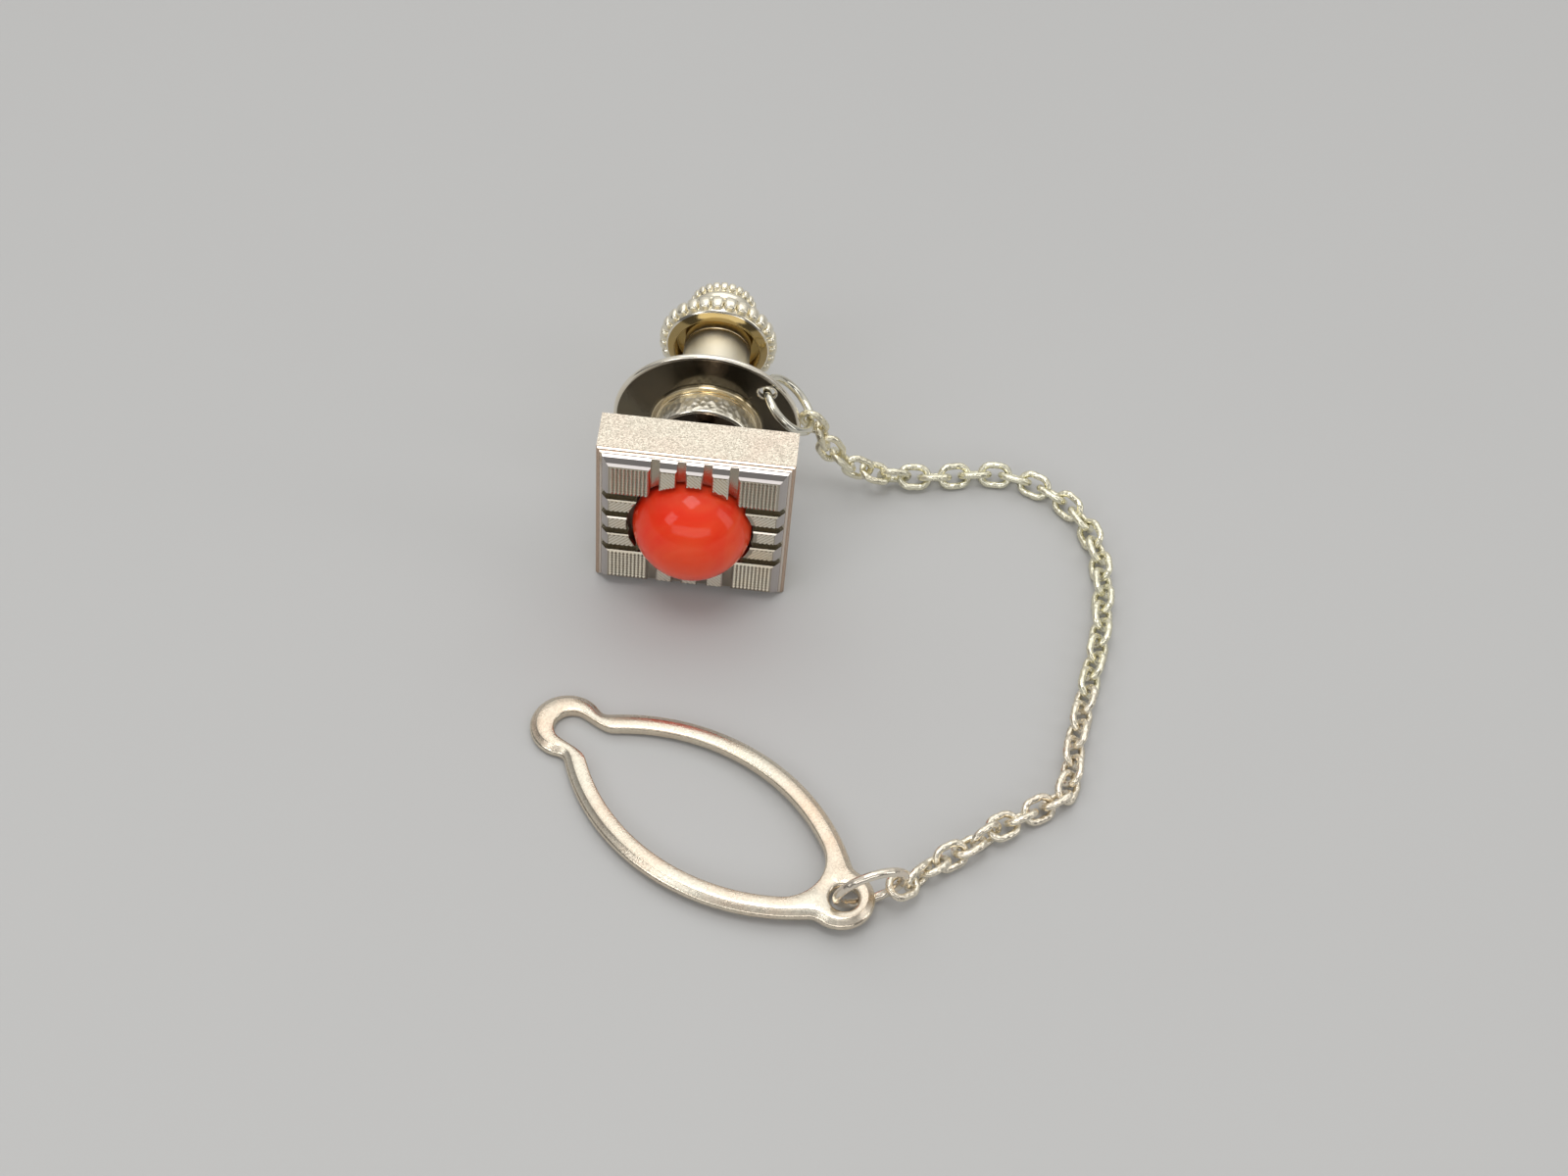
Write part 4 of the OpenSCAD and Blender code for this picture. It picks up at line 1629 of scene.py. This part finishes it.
@dataclass
class ButtonLoop:
    """The flat loop: a pointed oval with a slotted nub and an eye."""

    place: Place = (-14.97, -8.232, 0.0)
    turn: float = -31.0
    tilt: float = 1.7
    thickness: float = 0.6
    middle: float = 10.6
    outer_radius: float = 12.6
    inner_radius: float = 11.45
    arc_offset: float = 7.6
    # Round parts on the loop's axis: place of the middle, and radius.
    nub: Spot = (1.0, 2.05)
    lug: Spot = (19.4, 1.85)
    eye: Spot = (19.62, 0.775)
    slot: Spot = (1.35, 1.0)
    end_radius: float = 2.4
    outer_ease: float = 0.55
    inner_ease: float = 0.4
    ease_rounds: int = 5
    spacing: float = 0.16
    slot_steps: int = 5

    def matrix(self) -> Matrix:
        """Places the loop: from its own plane to where it lies, leaning on its ring.

        Returns:
            The move, in millimetres.
        """
        left = self.nub[0] - self.nub[1]
        return (
            Matrix.Translation(self.place)
            @ Matrix.Rotation(math.radians(self.turn), 4, "Z")
            @ Matrix.Translation((left, 0, 0))
            @ Matrix.Rotation(math.radians(-self.tilt), 4, "Y")
            @ Matrix.Translation((-left, 0, 0))
        )

    def arc(self, centre: Spot, radius: float, start: float, end: float) -> list[Spot]:
        """Gives points on an arc.

        Args:
            centre: Its centre.
            radius: Its radius.
            start: First angle in radians.
            end: Last angle, smaller for a clockwise arc.

        Returns:
            The points, without the last one.
        """
        count = max(2, round(abs(end - start) * radius / self.spacing))
        angles = [start + (end - start) * k / count for k in range(count)]
        u, v = centre
        return [(u + radius * math.cos(a), v + radius * math.sin(a)) for a in angles]

    def crossing(self, big: float, centre: float, small: float, right: bool) -> Spot:
        """Finds where a long side's arc meets a small circle on the loop's axis, above it.

        Args:
            big: Radius of the long side's arc.
            centre: Where the small circle's centre lies on the axis.
            small: Its radius.
            right: Whether the meeting point right of the other is meant.

        Returns:
            The point.
        """
        ax, ay = self.middle, -self.arc_offset
        dx, dy = centre - ax, -ay
        dist = math.hypot(dx, dy)
        along = (big * big - small * small + dist * dist) / (2 * dist)
        off = math.sqrt(max(0.0, big * big - along * along))
        foot = (ax + along * dx / dist, ay + along * dy / dist)
        spots = [(foot[0] + k * off * dy / dist, foot[1] - k * off * dx / dist) for k in (1, -1)]
        spots.sort()
        return spots[1] if right else spots[0]

    @staticmethod
    def mirrored(upper: list[Spot]) -> list[Spot]:
        """Closes an upper half, from left to right, with its mirror image."""
        lower = [(u, -v) for u, v in reversed(upper) if abs(v) > 1e-6]
        return upper + lower

    def outer_line(self) -> list[Spot]:
        """Gives the outline.

        Returns:
            Its points, clockwise from the nub's far end.
        """
        side = (self.middle, -self.arc_offset)
        nub_meet = self.crossing(self.outer_radius, *self.nub, right=True)
        lug_meet = self.crossing(self.outer_radius, *self.lug, right=False)
        first = math.atan2(nub_meet[1], nub_meet[0] - self.nub[0])
        start = math.atan2(nub_meet[1] - side[1], nub_meet[0] - side[0])
        end = math.atan2(lug_meet[1] - side[1], lug_meet[0] - side[0])
        last = math.atan2(lug_meet[1], lug_meet[0] - self.lug[0])
        line = self.arc((self.nub[0], 0), self.nub[1], math.pi, first)
        line += self.arc(side, self.outer_radius, start, end)
        line += self.arc((self.lug[0], 0), self.lug[1], last, 0.0)
        line.append((self.lug[0] + self.lug[1], 0.0))
        return self.eased(self.mirrored(line), [nub_meet, lug_meet], self.outer_ease)

    def opening_line(self) -> list[Spot]:
        """Gives the outline of the opening with the slot.

        Returns:
            Its points, clockwise from the slot's end.
        """
        side = (self.middle, -self.arc_offset)
        centre, radius = self.slot
        corner_u = self.middle - math.sqrt(
            self.inner_radius ** 2 - (self.arc_offset + radius) ** 2)
        reach = self.inner_radius - self.end_radius
        end_u = self.middle + math.sqrt(reach ** 2 - self.arc_offset ** 2)
        tangent = math.atan2(self.arc_offset, end_u - self.middle)
        start = math.atan2(radius - side[1], corner_u - side[0])
        line = self.arc((centre, 0), radius, math.pi, math.pi / 2)
        steps = self.slot_steps
        line += [(centre + (corner_u - centre) * k / steps, radius) for k in range(steps)]
        line += self.arc(side, self.inner_radius, start, tangent)
        line += self.arc((end_u, 0), self.end_radius, tangent, 0.0)
        line.append((end_u + self.end_radius, 0.0))
        return self.eased(self.mirrored(line), [(corner_u, radius)], self.inner_ease)

    def eased(self, line: list[Spot], corners: list[Spot], reach: float) -> list[Spot]:
        """Rounds a line off where two arcs meet.

        Args:
            line: The closed line.
            corners: Where arcs meet, above the axis; the mirror images are eased too.
            reach: How far from a corner the line is eased.

        Returns:
            The eased line.
        """
        points = np.array(line)
        spots = np.array(corners + [(u, -v) for u, v in corners])
        near = np.array([np.min(np.hypot(*(spots - p).T)) < reach for p in points])
        for _ in range(self.ease_rounds):
            calm = (np.roll(points, 1, 0) + np.roll(points, -1, 0)) / 2
            points[near] = 0.5 * points[near] + 0.5 * calm[near]
        return [tuple(p) for p in points]

    @staticmethod
    def inset(line: list[Spot], depth: float, inward: bool) -> list[Spot]:
        """Moves a clockwise line into the metal.

        Args:
            line: The line.
            depth: How far.
            inward: Whether the metal lies inside the line.

        Returns:
            The moved line.
        """
        points = np.array(line)
        along = np.roll(points, -1, 0) - np.roll(points, 1, 0)
        along /= np.linalg.norm(along, axis=1)[:, None]
        normal = np.stack([along[:, 1], -along[:, 0]], 1)
        moved = points + (depth if inward else -depth) * normal
        return [tuple(p) for p in moved]

    def outer_rim(self) -> Rim:
        """Gives the rounded outer shoulder.

        Returns:
            Depth into the metal, height and part, from the underside up.
        """
        top, edge = LoopPart.TOP, LoopPart.EDGE
        return [
            (0.10, 0.0, edge), (0.02, 0.06, edge), (0.0, 0.16, edge), (0.0, 0.28, edge),
            (0.04, 0.37, edge), (0.12, 0.43, top), (0.33, 0.53, top), (0.36, 0.575, edge),
            (0.40, self.thickness, top)]

    def opening_rim(self) -> Rim:
        """Gives the edge of the opening.

        Returns:
            Depth into the metal, height and part, from the underside up.
        """
        high, edge = self.thickness, LoopPart.EDGE
        return [
            (0.08, 0.0, edge), (0.02, 0.06, edge), (0.0, 0.14, edge), (0.0, high - 0.16, edge),
            (0.03, high - 0.05, edge), (0.10, high, LoopPart.TOP)]

    def eye_rim(self) -> Rim:
        """Gives the edge of the eye.

        Returns:
            Depth into the metal, height and part, from the underside up.
        """
        high, edge = self.thickness, LoopPart.EDGE
        return [
            (0.12, 0.0, edge), (0.03, 0.08, edge), (0.0, 0.18, edge), (0.0, high - 0.2, edge),
            (0.06, high - 0.08, edge), (0.17, high, LoopPart.TOP)]

    def raise_rim(
        self, work: bmesh.types.BMesh, line: list[Spot], rim: Rim, inward: bool,
    ) -> tuple[list[bmesh.types.BMVert], list[bmesh.types.BMVert]]:
        """Builds the edge of the sheet along one line.

        Args:
            work: The mesh that it goes into.
            line: The line, clockwise.
            rim: Section of the edge, from the underside up.
            inward: Whether the metal lies inside the line.

        Returns:
            The lowest and the highest ring of points.
        """
        marks = work.faces.layers.int["part"]
        place = self.matrix()
        rings = []
        for depth, height, _ in rim:
            spots = self.inset(line, depth, inward)
            rings.append([work.verts.new(place @ Vector((u, v, height))) for u, v in spots])
        for (low, high), (_, _, part) in zip(zip(rings, rings[1:]), rim):
            for i in range(len(low)):
                j = (i + 1) % len(low)
                face = work.faces.new((low[i], low[j], high[j], high[i]))
                face[marks] = part
        return rings[0], rings[-1]

    def build(self) -> None:
        """Makes the loop and hides its plain solid."""
        work = bmesh.new()
        marks = work.faces.layers.int.new("part")
        eye = self.arc((self.eye[0], 0), self.eye[1], math.tau, 0.0)
        ends = [
            self.raise_rim(work, self.outer_line(), self.outer_rim(), True),
            self.raise_rim(work, self.opening_line(), self.opening_rim(), False),
            self.raise_rim(work, eye, self.eye_rim(), False),
        ]
        for level in ([top for _, top in ends], [bottom for bottom, _ in ends]):
            edges = [
                work.edges.get((ring[i], ring[(i + 1) % len(ring)]))
                for ring in level for i in range(len(ring))]
            bmesh.ops.triangle_fill(work, use_beauty=True, use_dissolve=False, edges=edges)
        bmesh.ops.recalc_face_normals(work, faces=work.faces)
        bmesh.ops.scale(work, vec=(MM, MM, MM), verts=work.verts)
        parts = [face[marks] for face in work.faces]
        mesh = as_mesh(work, "button_loop_stamped")
        mesh.polygons.foreach_set("material_index", parts)
        finishes = list(LOOP_FINISHES.values())
        piece = dress(
            mesh, "button_loop_stamped", Body.CLUTCH, finishes, sharp=50.0)
        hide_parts("button_loop")


# The studio


@dataclass(frozen=True)
class SoftBox:
    """One soft light: where it hangs, what it looks at, its size and its strength."""

    name: str
    spot: Place
    target: Place
    size: Spot
    power: float
    colour: Colour = (1.0, 1.0, 1.0)

    def hang(self) -> None:
        """Adds the light."""
        lamp = bpy.data.lights.new(self.name, "AREA")
        lamp.shape = "RECTANGLE"
        lamp.size, lamp.size_y = self.size
        lamp.energy = self.power
        lamp.color = self.colour
        holder = put_in_scene(self.name, lamp)
        holder.location = self.spot
        way = Vector(self.target) - Vector(self.spot)
        holder.rotation_euler = way.to_track_quat("-Z", "Y").to_euler()


@dataclass
class Studio:
    """Camera, pale floor, soft lights and the dim room around them, with places in metres."""

    eye: Place = (-0.00273, -0.08321, 0.10717)
    right: Place = (0.9943, 0.0845, 0.0648)
    up: Place = (-0.1065, 0.7752, 0.6227)
    lens: float = 54.09
    sensor: float = 36.0
    nearest: float = 0.005
    farthest: float = 10.0
    floor_half: float = 1.5
    floor_drop: float = 0.00002
    room: float = 0.72
    room_dim: Colour = (0.17, 0.17, 0.175)
    room_bright: Colour = (1.0, 0.985, 0.96)
    room_fade: Spot = (0.1, 0.75)
    hood: Place = (0.0, 0.5, 0.87)
    lights: tuple[SoftBox, ...] = (
        SoftBox(
            "above", spot=(-0.03, -0.03, 0.34), target=(-0.004, 0.0, 0.003),
            size=(0.14, 0.14), power=0.24),
        SoftBox(
            "behind", spot=(0.0, 0.24, 0.38), target=(-0.004, 0.0, 0.003),
            size=(0.56, 0.30), power=0.38),
        SoftBox(
            "front_strip", spot=(0.0, -0.306, 0.17), target=(-0.006, 0.0, 0.004),
            size=(0.50, 0.11), power=0.26),
        SoftBox(
            "left_front", spot=(-0.22, -0.17, 0.20), target=(-0.004, 0.0, 0.004),
            size=(0.10, 0.12), power=0.10),
        SoftBox(
            "right_side", spot=(0.27, -0.04, 0.13), target=(-0.004, 0.0, 0.004),
            size=(0.08, 0.20), power=0.08),
    )

    def build(self) -> None:
        """Adds everything that stands around the object."""
        self.camera()
        self.floor()
        for light in self.lights:
            light.hang()
        self.surroundings()

    def camera(self) -> None:
        """Adds the camera at the photograph's place and angle."""
        lens = bpy.data.cameras.new("view")
        lens.sensor_width = self.sensor
        lens.lens = self.lens
        lens.clip_start = self.nearest
        lens.clip_end = self.farthest
        right = Vector(self.right).normalized()
        back = right.cross(Vector(self.up)).normalized()
        up = back.cross(right)
        matrix = Matrix((right, up, back)).transposed().to_4x4()
        matrix.translation = self.eye
        holder = put_in_scene("view", lens)
        holder.matrix_world = matrix
        bpy.context.scene.camera = holder

    def floor(self) -> None:
        """Adds the plain floor, a hair's breadth under the object."""
        work = bmesh.new()
        bmesh.ops.create_grid(work, x_segments=8, y_segments=8, size=self.floor_half)
        mesh = as_mesh(work, "floor")
        mesh.materials.append(PALE_FLOOR.material())
        plain = put_in_scene("floor", mesh)
        plain.location.z = -self.floor_drop

    def surroundings(self) -> None:
        """Makes the room: a bright hood above and behind, and dim at the front and sides."""
        world = bpy.data.worlds.new("room")
        bpy.context.scene.world = world
        world.use_nodes = True
        wire = Wiring(world.node_tree)
        sky = world.node_tree.nodes["Background"]
        sky.inputs["Strength"].default_value = self.room
        height = wire.node("VectorMath", operation="DOT_PRODUCT")
        wire.join(wire.node("TexCoord").outputs["Generated"], height.inputs[0])
        height.inputs[1].default_value = self.hood
        ramp = wire.node("ValToRGB")
        colours = (self.room_dim, self.room_bright)
        for stop, place, colour in zip(ramp.color_ramp.elements, self.room_fade, colours):
            stop.position = place
            stop.color = (*colour, 1.0)
        wire.join(height.outputs["Value"], ramp.inputs["Fac"])
        wire.join(ramp.outputs["Color"], sky.inputs["Color"])
        view = bpy.context.scene.view_settings
        view.view_transform = "Standard"
        view.look = "None"
        view.exposure = 0.0


def main() -> None:
    """Builds the tie tack and its studio."""
    logging.basicConfig(level=logging.INFO, format="%(name)s %(message)s")
    Groups.build()
    Studio().build()
    FaceHead().build()
    CoralStone().build()
    Clutch().build()
    PullKnob().build()
    SafetyChain().build()
    ButtonLoop().build()


if __name__ == "__main__":
    main()
